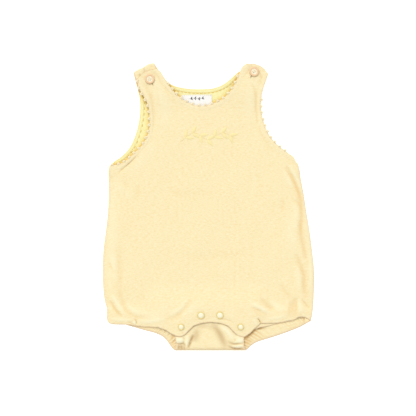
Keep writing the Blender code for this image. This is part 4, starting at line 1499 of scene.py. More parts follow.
@dataclass(frozen=True)
class PanelCloth:
    """A panel of cloth as one closed shell, finely meshed.

    Attributes:
        name: The piece's name.
        node: The CAD node that it stands for.
        pattern: Its pattern.
        faces_up: The face of the cloth that is up before any fold.
        spacing: Distance between the points of its upper surface.
        under_spacing: The same of its other surface.
        close_up: Says where its points lie closer, if anywhere.
        close_spacing: Their distance there.
        tone: Gives the painted shade (up to 1) or painted highlight (down to -1) at places of the pattern.
        edge_radius: How far in from its edge the cloth has its full thickness.
        edge_shade_reach: How far in from the finished edge its painted edge shade reaches.
    """

    name: str
    node: str
    pattern: Pattern
    faces_up: Face
    tone: Callable[[Array], Array]
    spacing: float = 2.2
    under_spacing: float = 4.0
    close_up: Callable[[Array], Array] | None = None
    close_spacing: float = 1.0
    edge_radius: float = 0.9
    edge_shade_reach: float = 2.0

    def places(self, outline: Array, spacing: float) -> Array:
        """Places inside the outline: rings along its edge and an even grid within them.

        Args:
            outline: The cloth's outline.
            spacing: The grid's distance between places.

        Returns:
            The places, one row each.
        """
        rim = closed(outline)
        tight = rim.spaced(1.1)
        found = []
        for ring in (0.3, 0.9, 1.9):
            moved = tight.moved(ring)[:-1]
            apart = rim.beside(moved)[0]
            found.append(moved[(apart > 0.96 * ring) & inside(moved, outline)])
        grids = [(spacing, False)]
        if self.close_up is not None:
            grids.append((self.close_spacing, True))
        low, high = outline.min(axis=0), outline.max(axis=0)
        for step, close in grids:
            rows = np.arange(low[1], high[1], step * math.sqrt(0.75))
            columns = np.arange(low[0], high[0], step)
            x = columns[None] + 0.5 * step * (np.arange(len(rows)) % 2)[:, None]
            grid = np.column_stack([x.ravel(), np.repeat(rows, len(columns))])
            if self.close_up is not None:
                grid = grid[self.close_up(grid) == close]
            grid = grid[inside(grid, outline)]
            found.append(grid[rim.beside(grid)[0] > 1.9 + 0.5 * step])
        return np.vstack(found)

    def shape(self) -> Shape:
        """The cloth's closed shell.

        Returns:
            The shell with its painted shade and highlight, its painted edge shade and the face that each
            triangle shows.
        """
        outline = self.pattern.cloth()
        rim, count = closed(outline), len(outline)
        laid, points, faces, paint = [outline], [self.pattern.lay.middle(outline)], [], []
        for side, spacing in ((1, self.spacing), (-1, self.under_spacing)):
            places = self.places(outline, spacing)
            inward = np.clip(rim.beside(places)[0] / self.edge_radius, 0, 1)
            triangles = filled(outline, places)
            on_edge = np.concatenate([np.ones(count), 1 - inward])[triangles].mean(axis=1) > 0.25
            in_shade = np.concatenate([outline, places])[triangles][:, :, 1].mean(axis=1) < LEG_SHADE_TOP
            up = self.faces_up.value if side > 0 else 1 - self.faces_up.value
            # Faces low on the legs take the outside's towelling in place of the lemon inside, as painted
            # shade.
            paint += np.where(on_edge | in_shade, Face.OUTSIDE.value, up).tolist()
            start = sum(map(len, laid)) - count
            triangles = np.where(triangles < count, triangles, triangles + start)
            faces += [tuple(t) for t in triangles[:, ::side].tolist()]
            laid.append(places)
            points.append(self.pattern.lay.off(places, side * HALF_CLOTH * np.sqrt(1 - (1 - inward) ** 2)))
        laid = np.vstack(laid)
        shape = Shape(np.vstack(points), faces, paint=paint)
        # Painted shade and highlight from the tone.
        shape.shade(self.tone(laid))
        # Painted edge shade, fading inward from the finished edge.
        finished = closed(self.pattern.whole())
        shape.rim = np.clip(1 - finished.beside(laid)[0] / self.edge_shade_reach, 0, 1) ** 1.5
        return shape

    def build(self) -> bpy.types.Object:
        """The cloth, dressed.

        Returns:
            The cloth's object.
        """
        if self.faces_up is Face.OUTSIDE:
            made = piece(self.name, self.shape(), (Finish.OUTSIDE, Finish.INSIDE))
        else:
            made = piece(self.name, self.shape(), (Finish.BACK, Finish.INSIDE))
        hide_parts(self.node)
        return made

    def declare(self) -> None:
        """Works out the size and the area that the panel was cut to, and keeps neither.
        """
        size = np.ptp(self.pattern.whole(), axis=0) * MM
        area = self.pattern.area() * MM * MM


@dataclass(frozen=True)
class Binding:
    """A folded binding over a panel's raw edge, plump, with its inner side sewn down onto the cloth.

    Attributes:
        name: The CAD node that it stands for.
        pattern: The pattern of the panel that it binds.
        run: The run that it lies on.
        skews: How far its inner edge runs past its ends.
        tone: Gives the painted shade, or the painted highlight, at places of the pattern.
        on_back: Whether it binds the back, whose inside is up but for the turned straps.
        crown: Height of its top above the cloth's middle.
        groove: Where it is stitched down, as a share of its width.
        round_share: Share of its width over which its outer edge is rounded.
        step: Distance between its cross-sections.
        lemon_from: How far below the left and the right shoulder fold its lemon side begins.
    """

    name: str
    pattern: Pattern
    run: str
    skews: tuple[float, float]
    tone: Callable[[Array], Array]
    on_back: bool = False
    crown: float = 1.15
    groove: float = 0.86
    round_share: float = 0.15
    step: float = 1.1
    lemon_from: tuple[float, float] = (24.0, 7.0)

    def profile(self) -> tuple[Array, Array, Array]:
        """The cross-section, from the outer edge over the top and back underneath.

        Returns:
            Its corners' shares of the width, their heights and how much painted shade each gets in the
            stitched grooves.
        """
        across = np.array([0, 0.03, 0.08, 0.15, 0.25, 0.38, 0.52, 0.64, 0.73, 0.8, 0.86, 0.92, 0.97, 1.0])
        inner_height = 0.55 if self.on_back else 0.8
        settle = ease((across - 0.5) / 0.45)
        top = rounded(across, self.round_share) * self.crown - settle * (self.crown - inner_height)
        # Real dips at the stitched grooves of a back binding, which also get painted shade.
        dip = bell((across - self.groove) / 0.08) + 0.5 * bell((across - 0.25) / 0.08)
        dip = dip * self.on_back
        low = np.array([0.97, 0.85, 0.6, 0.35, 0.15, 0.05])
        heights = np.concatenate([top - 0.3 * dip, [-0.78, -0.95, -1.0, -1.0, -1.0, -0.75]])
        return np.concatenate([across, low]), heights, np.concatenate([dip, np.zeros(len(low))])

    def lemon(self, outer: Array, corners: int) -> list[int]:
        """Which of a back binding's faces show the cloth's lemon side.

        Args:
            outer: The places on its outer edge.
            corners: Number of corners of its cross-section.

        Returns:
            1 for each such face and 0 for each other one.
        """
        past = [BackLay.past_strap_fold(strap, outer[:-1])[1] for strap in (LEFT_STRAP, RIGHT_STRAP)]
        bare = (past[0] < -self.lemon_from[0]) & (past[1] < -self.lemon_from[1])
        number = np.arange(corners)
        upper = (number > 0) & (number < corners - 7)
        return [*(bare[:, None] & upper).astype(int).ravel().tolist(), 0, 0]

    def build(self) -> list[bpy.types.Object]:
        """The binding and the stitches that hold it.

        Returns:
            The binding's object and its stitching's.
        """
        lay = self.pattern.lay
        strip = self.pattern.run(self.run).strip(self.step, self.skews)
        shares, heights, deep = self.profile()
        along = np.arange(len(strip.outer))[:, None] * self.step
        pucker = 0.06 * np.sin(along / 1.3 + 2 * np.sin(along / 11)) * bell((shares - 0.6) / 0.3)
        lift = 0.25 if self.on_back else 0.0
        shape = strip.solid(lay, shares, lift + heights + pucker * (heights > 0))
        places = strip.across(shares)
        # Painted shade in the grooves, on top of the tone; the front's bindings get a little painted
        # highlight.
        tone = self.tone(places.reshape(-1, 2)).reshape(places.shape[:2]) + 0.5 * deep
        shape.shade((tone if self.on_back else tone - 0.2).ravel())
        # Painted edge shade along the outer edge, weaker on the front.
        rim = np.interp(shares, [0.0, 0.08, 0.3], [0.8, 0.5, 0.0])
        shape.rim = np.tile(rim if self.on_back else 0.4 * rim, len(strip.outer))
        if self.on_back:
            shape.paint = self.lemon(strip.outer, len(shares))
        made = piece(f"{self.name}_cloth", shape, (Finish.OUTSIDE, Finish.INSIDE))
        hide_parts(self.name)
        line = Line(strip.outer + (strip.inner - strip.outer) * self.groove)
        if self.on_back:
            sewing = Sewing(5.0, 4.7, 0.36) if self.run == "neck" else Sewing(7.4, 4.2, 0.42)
            sewn = sewing.row(line, lay, lift + 0.54)
            return [made, piece(f"{self.name}_stitches", sewn, (Finish.GOLD,))]
        sewn = Sewing(3.4, 2.2, 0.16).row(line, lay, lift + 0.7)
        return [made, piece(f"{self.name}_stitches", sewn, (Finish.OUTSIDE,))]


@dataclass(frozen=True)
class Sewing:
    """A row of stitches.

    Attributes:
        pitch: Distance from one stitch to the next.
        stitch: Length of the thread that shows.
        radius: The thread's radius.
    """

    pitch: float
    stitch: float
    radius: float

    def row(self, line: Line, lay: Lay, offset: float) -> Shape:
        """Stitches along a line of the pattern.

        Args:
            line: The line.
            lay: How the panel lies.
            offset: Height of the stitches off the panel's middle surface.

        Returns:
            All the stitches as one shape.
        """
        length = line.length()
        count = max(1, int(length / self.pitch))
        starts = (np.arange(count) + 0.5) * self.pitch - self.stitch / 2
        within = np.array([0.0, 0.12, 0.5, 0.88, 1.0]) * self.stitch
        arch = np.array([-0.35, 0.0, 0.12, 0.0, -0.35])
        taper = np.array([0.35, 0.85, 1.0, 0.85, 0.35]) * self.radius
        places = line.at((starts[:, None] + within) / length).reshape(-1, 2)
        paths = lay.off(places, offset + np.tile(arch, count)).reshape(count, len(within), 3)
        return Shape.joined([thread(path, taper) for path in paths])


@dataclass(frozen=True)
class LegCasing:
    """The back's leg casing: elastic turned in with the cloth, gathered as it draws up.

    Attributes:
        name: The piece's name, which is also its CAD node's.
        pattern: The back's pattern.
        run: The run that it lies on.
        gathers: Its gathers, counted from the side seam.
        from_side: Whether the run starts at the side seam.
        tone: Gives the painted shade, or the painted highlight, at places of the pattern.
        leg_width: Its width along the leg.
        flap_width: Its width along the flap.
        thickness: Its thickness at the crest.
        step: Distance between its cross-sections.
        puff: How much plumper its gathers stand beside the crotch.
        round_share: Share of its width over which its outer edge is rounded.
    """

    name: str
    pattern: Pattern
    run: str
    gathers: tuple[Gather, ...]
    from_side: bool
    tone: Callable[[Array], Array]
    thickness: float = 2.2
    step: float = 0.75
    puff: float = 0.7
    round_share: float = 0.14
    leg_width = 18.8
    flap_width = 10.5

    def folds(self, reach: Array, share: Array, across: Array) -> tuple[Array, Array]:
        """Height and depth of the gathers.

        Args:
            reach: Distance along the casing.
            share: The same, as a share of its length from the side seam.
            across: Share of the casing's width from its outer edge.

        Returns:
            The gathers' heights, and how much painted shade each point gets in the creases between them.
        """
        height, deep = np.zeros(np.broadcast(reach, across).shape), 0.0
        for gather in self.gathers:
            window = ease((share - gather.start) / 0.05) * ease((gather.end - share) / 0.05)
            wander = reach + 0.9 * np.sin(reach / 7.3) + 0.5 * np.sin(reach / 3.1 + 2 * across)
            ridge = 0.5 - 0.5 * np.cos(2 * math.pi * (wander - 0.8 * across) / gather.pitch)
            strength = gather.height * window * (0.35 + 0.65 * across) * (0.85 + 0.3 * np.sin(reach / 4.3))
            height = height + strength * (ridge - 0.55)
            # Painted shade in the creases between gathers.
            deep = deep + np.clip(strength / 0.8, 0, 1) * (1 - ridge) ** 2
        return height, np.clip(deep, 0, 1)

    def build(self) -> None:
        """Makes the casing."""
        strip = self.pattern.run(self.run).strip(self.step)
        across = np.concatenate([[0, 0.02, 0.06, 0.13], np.linspace(0.22, 0.9, 9), [0.96, 1.0]])
        plump = rounded(across, self.round_share)
        middle = self.thickness / 2 - HALF_CLOTH
        reach = np.arange(len(strip.outer))[:, None] * self.step
        share = reach / reach[-1] if self.from_side else 1 - reach / reach[-1]
        height, deep = self.folds(reach, share, across[None])
        creases = relief(CASING_FOLDS, strip.across(across).reshape(-1, 2)).reshape(height.shape)
        top = plump * (1 - 0.3 * ease((across - 0.8) / 0.2)) * self.thickness / 2
        puff = self.puff * bell((share - 0.52) / 0.1) * ease(across / 0.6)
        upper = middle + top + (height + creases + puff) * plump
        turned_up = ease((share - 0.62) / 0.05)
        lower = middle - plump * self.thickness / 2 - 0.05 + 0.12 * ease((across - 0.85) / 0.15)
        lower = lower - turned_up * height * plump * ease((1 - across) / 0.15)
        offsets = np.hstack([upper, np.minimum(lower, upper - 0.2)[:, -2:0:-1]])
        shares = np.concatenate([across, across[-2:0:-1]])
        shape = strip.solid(self.pattern.lay, shares, offsets)
        # Painted shade in the gathers and creases, on top of the tone; the turned underside gets it too.
        shade = np.hstack([deep - creases / 1.3, deep[:, -2:0:-1] * turned_up])
        shape.shade(self.tone(strip.across(shares).reshape(-1, 2)) + shade.ravel())
        # Painted edge shade along the outer edge.
        shape.rim = np.tile(np.interp(shares, [0.0, 0.05, 0.16], [0.9, 0.7, 0.0]), len(strip.outer))
        # The turned part takes the back's towelling, whose painted fold shade is greyer.
        shape.paint = [*np.repeat(share[:-1, 0] > 0.64, len(shares)).astype(int).tolist(), 0, 0]
        made = piece(f"{self.name}_cloth", shape, (Finish.CASING, Finish.BACK))
        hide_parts(self.name)


@dataclass(frozen=True)
class FrontCasing:
    """The front's leg casing, turned under its lower edge.

    Attributes:
        name: The piece's name, which is also its CAD node's.
        outer: Its outer edge, clockwise round the front.
        width: Its width from there.
        thickness: Its thickness.
        gap: Its distance below the front's cloth.
    """

    name: str
    outer: Line
    width: float = 11.0
    thickness: float = 1.1
    gap: float = 0.15

    def build(self) -> None:
        """Makes the casing."""
        strip = Strip(self.outer.points, self.outer.moved(self.width))
        count = len(strip.outer)
        cos, sin = circle(16).T
        shares = 0.5 - 0.5 * np.sign(cos) * abs(cos) ** 0.5
        round_it = np.sign(sin) * abs(sin) ** 0.6
        ends = np.sin(math.pi * np.linspace(0.02, 0.98, count))[:, None] ** 0.3
        offsets = -HALF_CLOTH - self.gap - self.thickness / 2 + round_it * ends * self.thickness / 2
        shape = strip.solid(FRONT, shares, offsets)
        # Painted edge shade along the outer edge.
        shape.rim = np.tile(np.interp(shares, [0.0, 0.05, 0.12], [0.9, 0.6, 0.0]), count)
        made = piece(f"{self.name}_cloth", shape, (Finish.OUTSIDE,))
        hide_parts(self.name)
        self.outer.length() * MM


# ---- trim, label and fastenings


@dataclass(frozen=True)
class PicotTrim:
    """Picot trim outside a binding: a narrow band with a small loop at every pitch.

    Attributes:
        name: The piece's name, which is also its CAD node's.
        pattern: The front's pattern.
        run: The run that it lies on.
        first: Distance along the run to its start.
        last: Distance along the run to its end.
        pitch: Distance from loop to loop.
        gap: Distance of the band from the binding.
        loop_out: How far a loop's middle line reaches out.
        loop_half_width: Half of a loop's width along the edge.
        yarn: Radius of a loop's thread.
        lift: Height of the loops' middle above the cloth's.
    """

    name: str
    pattern: Pattern
    run: str
    first: float
    last: float
    pitch: float = 8.45
    gap: float = 0.1
    loop_out: float = 1.6
    loop_half_width: float = 1.0
    yarn: float = 1.15
    lift: float = 0.5

    def build(self) -> bpy.types.Object:
        """The trim, dressed.

        Returns:
            The trim's object.
        """
        line, lay = self.pattern.run(self.run).line, self.pattern.lay
        length = line.length()
        turn = np.linspace(-0.12, 1.12, 15) * math.pi
        out = self.gap + self.loop_out * np.sin(turn).clip(-0.2)
        radius = self.yarn * (1 + 0.12 * np.cos(6 * turn))
        shapes = []
        for number in range(round((self.last - self.first) / self.pitch)):
            middle = self.first + (number + 0.5) * self.pitch
            half_width = self.loop_half_width * (1 + 0.1 * math.sin(number))
            lean = 0.25 * math.sin(number * 2.4)
            share = np.clip((middle + half_width * np.cos(turn) + lean * out) / length, 0, 1)
            places = line.at(share) + line.facing(share) * out[:, None]
            shapes.append(thread(lay.off(places, self.lift + 0.25 * np.sin(turn)), radius, 9))
        count = round((self.last - self.first) / 1.2)
        reach = np.linspace(max(0.0, self.first), min(length, self.last), count)
        edge = line.at(reach / length) + line.facing(reach / length) * self.gap
        wave = 0.42 + 0.06 * np.sin(np.arange(len(edge)) * 1.9)
        shapes.append(thread(lay.off(edge, 0.05), wave, 8))
        made = piece(f"{self.name}_trim", Shape.joined(shapes), (Finish.PICOT,))
        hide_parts(self.name)
        return made


@dataclass(frozen=True)
class Sprig:
    """A small generic sprig of leaves in satin stitch.

    Attributes:
        name: The piece's name.
        stem: Knots of the stem.
        leaves: Number of leaf pairs.
        leaf_length: A leaf's length.
        yarn: Radius of the stem's thread.
    """

    name: str
    stem: tuple[Knot, ...]
    leaves: int
    leaf_length: float
    yarn: float

    def leaf(self, root: Array, degrees: float, lay: Lay, offset: float) -> Shape:
        """One domed leaf.

        Args:
            root: The place that it starts from.
            degrees: The way that it points.
            lay: How the cloth under it lies.
            offset: Its height off that cloth's middle surface.

        Returns:
            The leaf's Shape.
        """
        along = np.linspace(0, 1, 9)
        half = 0.2 * self.leaf_length * np.sin(math.pi * along**0.8) + 0.05
        way, side = ways(degrees)
        cos, sin = circle(8).T
        places = root + way * (along * self.leaf_length)[:, None, None]
        places = places + side * (half[:, None] * cos)[:, :, None]
        heights = offset + sin * (0.25 + 0.6 * half[:, None] / half.max()) * 2 * self.yarn
        return swept(lay.off(places.reshape(-1, 2), heights.ravel()).reshape(9, 8, 3))

    def build(self, lay: Lay, offset: float, finish: Finish, slot: Slot) -> None:
        """Makes the sprig.

        Args:
            lay: How the cloth under it lies.
            offset: Its height off that cloth's middle surface.
            finish: Its thread.
            slot: Not used.
        """
        line = Line.through(self.stem, 0.6)
        shapes = [thread(lay.off(line.points, offset), self.yarn)]
        shares = np.linspace(0.1, 0.9, self.leaves)
        for number, (root, ahead) in enumerate(zip(line.at(shares), line.at(shares + 0.02))):
            x, y = ahead - root
            for side in (-1, 1):
                spread = side * (0.75 + 0.1 * math.sin(number * 1.7))
                shapes.append(self.leaf(root, math.degrees(math.atan2(y, x) + spread), lay, offset))
        piece(self.name, Shape.joined(shapes), (finish,))


@dataclass(frozen=True)
class NeckLabel:
    """The woven label inside the back neck, sewn along its top edge.

    Attributes:
        left: Its left edge.
        right: Its right edge.
        top: Its top edge.
        bottom: Its bottom edge.
        thickness: Its thickness.
        offset: Height of its underside off the back's middle surface.
        tilt: How much its right end lies higher in Y than its left.
    """

    left: float = -34.9
    right: float = 4.2
    top: float = 143.6
    bottom: float = 126.8
    thickness: float = 0.5
    offset: float = HALF_CLOTH + 0.3
    tilt: float = 0.5

    def ribbon(self, x: Array, y: Array) -> Shape:
        """The ribbon itself, slightly bowed.

        Args:
            x: Places along its top edge.
            y: Places down its side.

        Returns:
            Its closed Shape.
        """
        share = (x - self.left) / (self.right - self.left)
        places = np.stack(np.meshgrid(x, y), axis=-1)
        places[..., 1] += self.tilt * share
        bow = np.tile(0.35 * np.sin(math.pi * share), len(y))
        places = places.reshape(-1, 2)
        top = BACK.off(places, self.offset + self.thickness + bow)
        count = len(places)
        number = np.arange(count).reshape(len(y), len(x))
        quads = np.stack([number[:-1, :-1], number[1:, :-1], number[1:, 1:], number[:-1, 1:]], axis=-1)
        over = quads.reshape(-1, 4)
        edge = np.concatenate([number[:, 0], number[-1, 1:], number[-2::-1, -1], number[0, -2:0:-1]])
        after = np.roll(edge, -1)
        wall = np.stack([edge, edge + count, after + count, after], axis=-1)
        faces = [tuple(face) for face in np.vstack([over, over[:, ::-1] + count, wall]).tolist()]
        return Shape(np.vstack([top, BACK.off(places, self.offset + bow)]), faces)

    def build(self) -> None:
        """Makes the label, the stitches along its top and its woven sprig."""
        x, y = np.linspace(self.left, self.right, 34), np.linspace(self.top, self.bottom, 15)
        made = piece("label_ribbon", self.ribbon(x, y), (Finish.LABEL,))
        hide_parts("label")
        head = np.column_stack([x, self.top - 0.9 + self.tilt * np.linspace(0, 1, len(x))])
        face = self.offset + self.thickness
        sewn = Sewing(2.6, 1.8, 0.16).row(Line(head), BACK, face + 0.3)
        piece("label_stitches", sewn, (Finish.STITCH,))
        middle = (self.left + self.right) / 2
        stem = knots(middle - 9, 138.6, middle - 3, 139.6, middle + 3, 138.8, middle + 9, 139.8)
        Sprig("label_sprig", stem, 4, 3.0, 0.14).build(BACK, face + 0.42, Finish.INK, Slot.LABEL)


@dataclass(frozen=True)
class Fastening:
    """Something hard that sits on the front.

    Attributes:
        spot: Its place and radius.
    """

    spot: Spot
    seat = HALF_CLOTH + 0.2  # height of its underside off the front's middle surface

    def stood(self, points: Array) -> Array:
        """Stands it on the front.

        Args:
            points: Its points, round the Z axis and up from 0.

        Returns:
            The same points at its spot, tipped with the cloth.
        """
        place = np.array([[self.spot.x, self.spot.y]])
        base = FRONT.off(place, self.seat)[0]
        up = Vector(FRONT.off(place, self.seat + 1.0)[0] - base)
        return points @ np.array(up.to_track_quat("Z", "Y").to_matrix()).T + base


@dataclass(frozen=True)
class ShoulderButton(Fastening):
    """A four-hole button, its thread and the buttonhole that it comes through.

    Attributes:
        slit_degrees: The way that the buttonhole runs.
        thread_degrees: The way that its threads run.
        hole: Radius of a hole.
        hole_offset: Distance of the holes from the middle, along X and Y.
        dish_height: Height of its sunk middle.
        slit_offset: Distance of the buttonhole's middle from the button's.
        slit_half_length: Half of the buttonhole's length.
        slit_half_width: Half of its width.
    """

    slit_degrees: float
    thread_degrees: float
    hole: float = 0.45
    hole_offset: float = 1.3
    dish_height: float = 1.3
    slit_offset: float = 2.1
    slit_half_length: float = 7.2
    slit_half_width: float = 0.9
    seat = HALF_CLOTH + 0.35

    def button(self) -> Shape:
        """The button itself, with its four holes right through.

        Returns:
            Its closed Shape, rim and dish painted apart.
        """
        rim = self.spot.radius
        outer = [
            (rim - 1.7, 0.0), (rim - 0.8, 0.15), (rim - 0.2, 0.5), (rim, 0.95), (rim - 0.12, 1.3),
            (rim - 0.45, 1.6), (rim - 0.95, 1.76), (rim - 1.5, 1.74), (rim - 1.95, 1.6),
            (rim - 2.3, 1.42), (rim - 2.7, 1.34), (rim - 3.1, self.dish_height),
        ]
        segments, sides, rim_rings = 64, 16, 10
        rings = turned(outer, segments)
        offsets = [(x * self.hole_offset, y * self.hole_offset) for x in (-1, 1) for y in (-1, 1)]
        holes = [circle(sides) * self.hole + offset for offset in offsets]
        body = swept(rings, capped=False)
        points, faces = [body.points], body.faces
        paint = [int(number >= segments * rim_rings) for number in range(len(faces))]
        start = len(body.points)
        for height in (0.0, self.dish_height):
            points += [np.column_stack([hole, np.full(sides, height)]) for hole in holes]
        for end, (ring, shift) in enumerate(((0, start), (len(outer) - 1, start + 4 * sides))):
            for face in filled(rings[ring][:, :2], np.zeros((0, 2)), holes).tolist():
                shifted = tuple(ring * segments + i if i < segments else shift + i - segments for i in face)
                faces.append(shifted if end else shifted[::-1])
        for low in range(start, start + 4 * sides, sides):
            high = low + 4 * sides
            for k in range(sides):
                after = (k + 1) % sides
                faces.append((low + after, low + k, high + k, high + after))
        paint += [1] * (len(faces) - len(paint))
        return Shape(self.stood(np.vstack(points)), faces, paint=paint)

    def threads(self) -> Shape:
        """Two pairs of threads over the button's middle, from hole to hole.

        Returns:
            The four threads as one Shape.
        """
        way, side = ways(self.thread_degrees)
        along = np.linspace(-1, 1, 9)
        height = self.dish_height + 0.1 + 0.4 * (1 - along**4) - 0.9 * (abs(along) > 0.99)
        shapes = []
        for bar in (-1, 1):
            for strand in (-0.26, 0.26):
                places = np.outer(along * self.hole_offset, way) + side * (bar * self.hole_offset + strand)
                shapes.append(thread(self.stood(np.column_stack([places, height])), 0.42))
        return Shape.joined(shapes)

    def buttonhole(self) -> tuple[Shape, Shape]:
        """The buttonhole on the tab.

        Returns:
            The stitched bead round it, and a dark strip in its slit, which is painted shade of the opening.
        """
        way, side = ways(self.slit_degrees)
        middle = np.array([self.spot.x, self.spot.y]) + way * self.slit_offset
        half, half_width = self.slit_half_length, self.slit_half_width
        turn = np.linspace(0, 2 * math.pi, 73)
        cos = np.cos(turn)
        x = cos * half_width + np.sign(cos) * abs(cos) ** 0.3 * (half - half_width)
        places = middle + np.outer(x, way) + np.outer(np.sin(turn) * half_width, side)
        radius = 0.42 * (1 + 0.16 * np.cos(np.arange(73) * 2.1))
        bead = thread(FRONT.off(places, HALF_CLOTH + 0.02), radius, 8)
        along = np.linspace(-half + 0.4, half - 0.4, 15)
        width = 0.55 * np.sqrt(1 - (along / half) ** 2) + 0.05
        return bead, thread(FRONT.off(middle + np.outer(along, way), HALF_CLOTH + 0.05), width)

    def build(self) -> None:
        """Makes the button, its threads and its buttonhole."""
        name = self.spot.name
        made = piece(f"{name}_shell", self.button(), (Finish.SHELL, Finish.DISH))
        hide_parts(name)
        piece(f"{name}_thread", self.threads(), (Finish.STITCH,))
        bead, slit = self.buttonhole()
        piece(f"{name}_buttonhole", bead, (Finish.OUTSIDE,))
        piece(f"{name}_slit", slit, (Finish.SLIT,))


@dataclass(frozen=True)
class SnapCap(Fastening):
    """A snap's cap: an enamelled dome in a raised rim, whose gold is painted shade of the groove that the
    cap presses into the cloth.

    Attributes:
        rim_width: Width of the rim.
    """

    rim_width: float = 1.25

    def build(self) -> None:
        """Makes the cap."""
        radius, dome, segments = self.spot.radius, self.spot.radius - self.rim_width, 56
        ring = [
            (radius - 0.7, 0.0), (radius - 0.15, 0.12), (radius, 0.42), (radius - 0.12, 0.78),
            (radius - 0.45, 0.98), (radius - 0.8, 0.9), (dome, 0.66),
        ]
        cap = [(dome * math.cos(a), 0.7 + 0.95 * math.sin(a)) for a in np.linspace(0.12, 1.5, 9)]
        shape = swept(turned([*ring, *cap], segments))
        # The rim's faces take the gold: a real rim carrying painted shade of the groove round the cap.
        shape.paint = [int(number < segments * len(ring)) for number in range(len(shape.faces))]
        shape.points = self.stood(shape.points)
        made = piece(f"{self.spot.name}_cap", shape, (Finish.ENAMEL, Finish.RING))
        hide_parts(self.spot.name)


# ---- the romper


@dataclass
class Romper:
    """The whole romper: two panels, their edge finishes, trim, label and fastenings.

    Attributes:
        front: The front's pattern.
        back: The back's pattern.
    """

    front: Pattern = field(default_factory=front_pattern)
    back: Pattern = field(default_factory=back_pattern)

    @staticmethod
    def front_painted_shading(places: Array) -> Array:
        """The painted shade in a fold, or painted highlight on a ridge, at places of the front."""
        height = relief(FRONT_FOLDS, places)
        return np.where(height < 0, -height / 2.5, -height / 0.8)

    def back_painted_shading(self, places: Array) -> Array:
        """The painted shade on the back beside the front's edge and in its turned folds, and painted
        highlight on ridges.

        Args:
            places: Places of the back's pattern, one row each.

        Returns:
            1 for full painted shade, 0 for none and -1 for full painted highlight, for each place.
        """
        laid = BACK.middle(places)
        x, y, height = laid.T
        beside = closed(self.front.whole()).spaced(3.0).beside(laid[:, :2])[0]
        left_armhole = (x < -66) & (y > 95)
        # Painted shadow that the front's edge casts beside it, weaker and wider at the left armhole.
        shade = np.where(left_armhole, 0.6, 0.9)
        legs = y < LEG_SHADE_TOP
        # On the legs: painted highlight on the outer legs, lifting the cast shadow under the front's hem,
        # and painted shade towards the crotch, deepest by the right leg.
        shade[legs] = np.interp(x[legs], (-60, -46, 58, 72), (-1.0, 0.1, 0.7, -0.9))
        # On the turned flap and straps: painted shade in folds and painted highlight on ridges.
        folded = relief(TURNED_FOLDS, laid[:, :2])
        folded = np.where(folded < 0, -folded / 1.9, -folded / 1.2)
        # Painted shadow under the front's edge, and painted shade on the crotch fold's outer edge.
        folded += np.where(y < 0, 0.4, 0.2) * bell(beside / 1.2)
        folded += 0.35 * bell((y - CROTCH_FOLD_Y + CROTCH_FOLD_RADIUS) / 3.0)
        open_cloth = bell(beside / np.where(left_armhole, 4.0, 3.2)) * shade
        return np.where(height > TURNED_HEIGHT, folded, open_cloth)

    def back_panel(self) -> None:
        """Makes the back's cloth and its bindings."""
        panel = PanelCloth(
            "back_cloth", "back_panel", self.back, Face.INSIDE, self.back_painted_shading, spacing=3.2,
            under_spacing=3.2, close_up=lambda places: (places[:, 1] < -150) | (places[:, 1] > 60),
            close_spacing=1.5,
        )
        cloth, sewn_on = panel.build(), []
        for name, run, skews in (
            ("back_neck_binding", "neck", (0.0, 0.0)),
            ("back_armhole_binding_left", "left_armhole", (1.0, 0.0)),
            ("back_armhole_binding_right", "right_armhole", (0.0, 12.0)),
        ):
            sewn_on += Binding(name, self.back, run, skews, self.back_painted_shading, on_back=True).build()
        panel.declare()

    def front_panel(self) -> None:
        """Makes the front's cloth, its bindings and its picot trim."""
        panel = PanelCloth(
            "front_cloth", "front_panel", self.front, Face.OUTSIDE, self.front_painted_shading, close_up=FRONT.creased
        )
        cloth, sewn_on = panel.build(), []
        for name, run, skews in (
            ("front_neck_binding", "neck", (5.6, 7.4)),
            ("front_armhole_binding_left", "left_armhole", (1.5, 6.0)),
            ("front_armhole_binding_right", "right_armhole", (3.2, 12.0)),
        ):
            sewn_on += Binding(name, self.front, run, skews, self.front_painted_shading).build()
        for name, run, first, last in (
            ("picots_neck", "neck", 20.0, 146.75),
            ("picots_armhole_left", "left_armhole", -1.0, 142.65),
            ("picots_armhole_right", "right_armhole", 30.0, 114.5),
        ):
            sewn_on.append(PicotTrim(name, self.front, run, first, last).build())
        panel.declare()

    def casings(self) -> None:
        """Makes the leg casings."""
        tone = self.back_painted_shading
        LegCasing("back_leg_casing_right", self.back, "right_leg", RIGHT_GATHERS, True, tone).build()
        LegCasing("back_leg_casing_left", self.back, "left_leg", LEFT_GATHERS, False, tone, puff=1.5).build()
        hidden = Line(self.front.run("left_leg").line.moved(1.4)[1:-14])
        FrontCasing("front_leg_casing_left", hidden).build()
        FrontCasing("front_leg_casing_right", Line.through(FRONT_CASING_EDGE)).build()

    def details(self) -> None:
        """Makes the side seams' stitches, the sprig on the chest and the label."""
        for side in ("left", "right"):
            line = Line(self.front.run(f"{side}_side").line.moved(2.6)[6:-6])
            seam = Sewing(2.6, 1.5, 0.22).row(line, FRONT, HALF_CLOTH)
            piece(f"side_seam_stitches_{side}", seam, (Finish.STITCH,))
        garland = Sprig("chest_sprig", knots(-36, 84, -18, 95, 0, 86, 18, 95, 34, 88), 7, 11.0, 0.3)
        garland.build(FRONT, HALF_CLOTH + 0.05, Finish.EMBROIDERY, Slot.TOWELLING)
        NeckLabel().build()

    def fastenings(self) -> None:
        """Makes the buttons and the snaps."""
        left, right = BUTTONS
        ShoulderButton(left, slit_degrees=-61.5, thread_degrees=35.0).build()
        ShoulderButton(right, slit_degrees=-121.0, thread_degrees=60.0).build()
        for spot in SNAPS:
            SnapCap(spot).build()

    def build(self) -> None:
        """Makes everything, from the table up."""
        self.back_panel()
        self.front_panel()
        self.casings()
        self.details()
        self.fastenings()


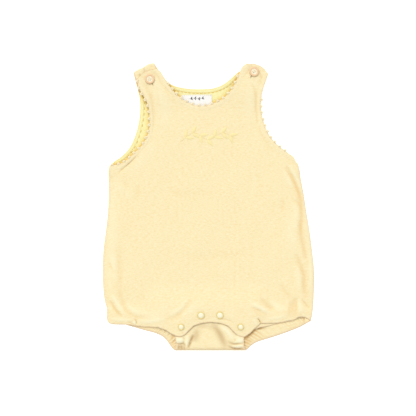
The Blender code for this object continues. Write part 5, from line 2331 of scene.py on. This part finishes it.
@dataclass(frozen=True)
class Studio:
    """A pale floor, a bright dome, a soft key light and the camera straight above.

    Attributes:
        dome: Brightness of the dome.
        key: Strength of the key light.
        key_from: The way to the key light.
        table_glow: How brightly the light table under the cloth glows.
        lens: The camera's focal length.
        height: The camera's height above the table.
        centre: The point of the table in the middle of the view.
    """

    dome: float = 0.92
    key: float = 1.6
    key_from: tuple[float, float, float] = (-0.3, 0.75, 1.0)
    table_glow: float = 0.35
    lens: float = 85.0
    height: float = 1262.0
    centre: tuple[float, float] = (-0.64, -1.28)

    def floor(self) -> None:
        """A wide matt floor just under the cloth."""
        bench = Bench("pale floor", 0.9)
        grain = bench.noise(30.0, 3.0)
        bench.colour(bench.mix(grain, (0.955, 0.955, 0.955), (0.965, 0.965, 0.965)))
        bench.set("Specular IOR Level", 0.1)
        bench.set("Emission Color", (1.0, 1.0, 1.0))
        bench.set("Emission Strength", self.table_glow)
        half, low = 4.0, -0.05 * MM
        mesh = bpy.data.meshes.new("floor")
        corners = [(-half, -half, low), (half, -half, low), (half, half, low), (-half, half, low)]
        mesh.from_pydata(corners, [], [(0, 1, 2, 3)])
        mesh.materials.append(bench.material)
        placed("floor", mesh)

    def lights(self) -> None:
        """The dome and the key light."""
        world = bpy.data.worlds.new("dome")
        bpy.context.scene.world = world
        world.use_nodes = True
        background = world.node_tree.nodes["Background"]
        background.inputs["Color"].default_value = (1.0, 1.0, 1.0, 1.0)
        background.inputs["Strength"].default_value = self.dome
        light = bpy.data.lights.new("key", "SUN")
        light.energy = self.key
        light.angle = math.radians(28)
        placed("key", light).rotation_euler = Vector(self.key_from).to_track_quat("Z", "Y").to_euler()

    def camera(self) -> None:
        """The camera, straight above, with plain colours."""
        camera = bpy.data.cameras.new("camera")
        camera.lens = self.lens
        camera.sensor_width = 36.0
        made = placed("camera", camera)
        made.location = (self.centre[0] * MM, self.centre[1] * MM, self.height * MM)
        bpy.context.scene.camera = made
        bpy.context.scene.view_settings.view_transform = "Standard"

    def build(self) -> None:
        """Builds the floor, the lights and the camera."""
        self.floor()
        self.lights()
        self.camera()


def main() -> None:
    """Builds the studio and the romper."""
    logging.basicConfig(level=logging.INFO, format="%(name)s: %(message)s")
    Studio().build()
    Romper().build()


if __name__ == "__main__":
    main()
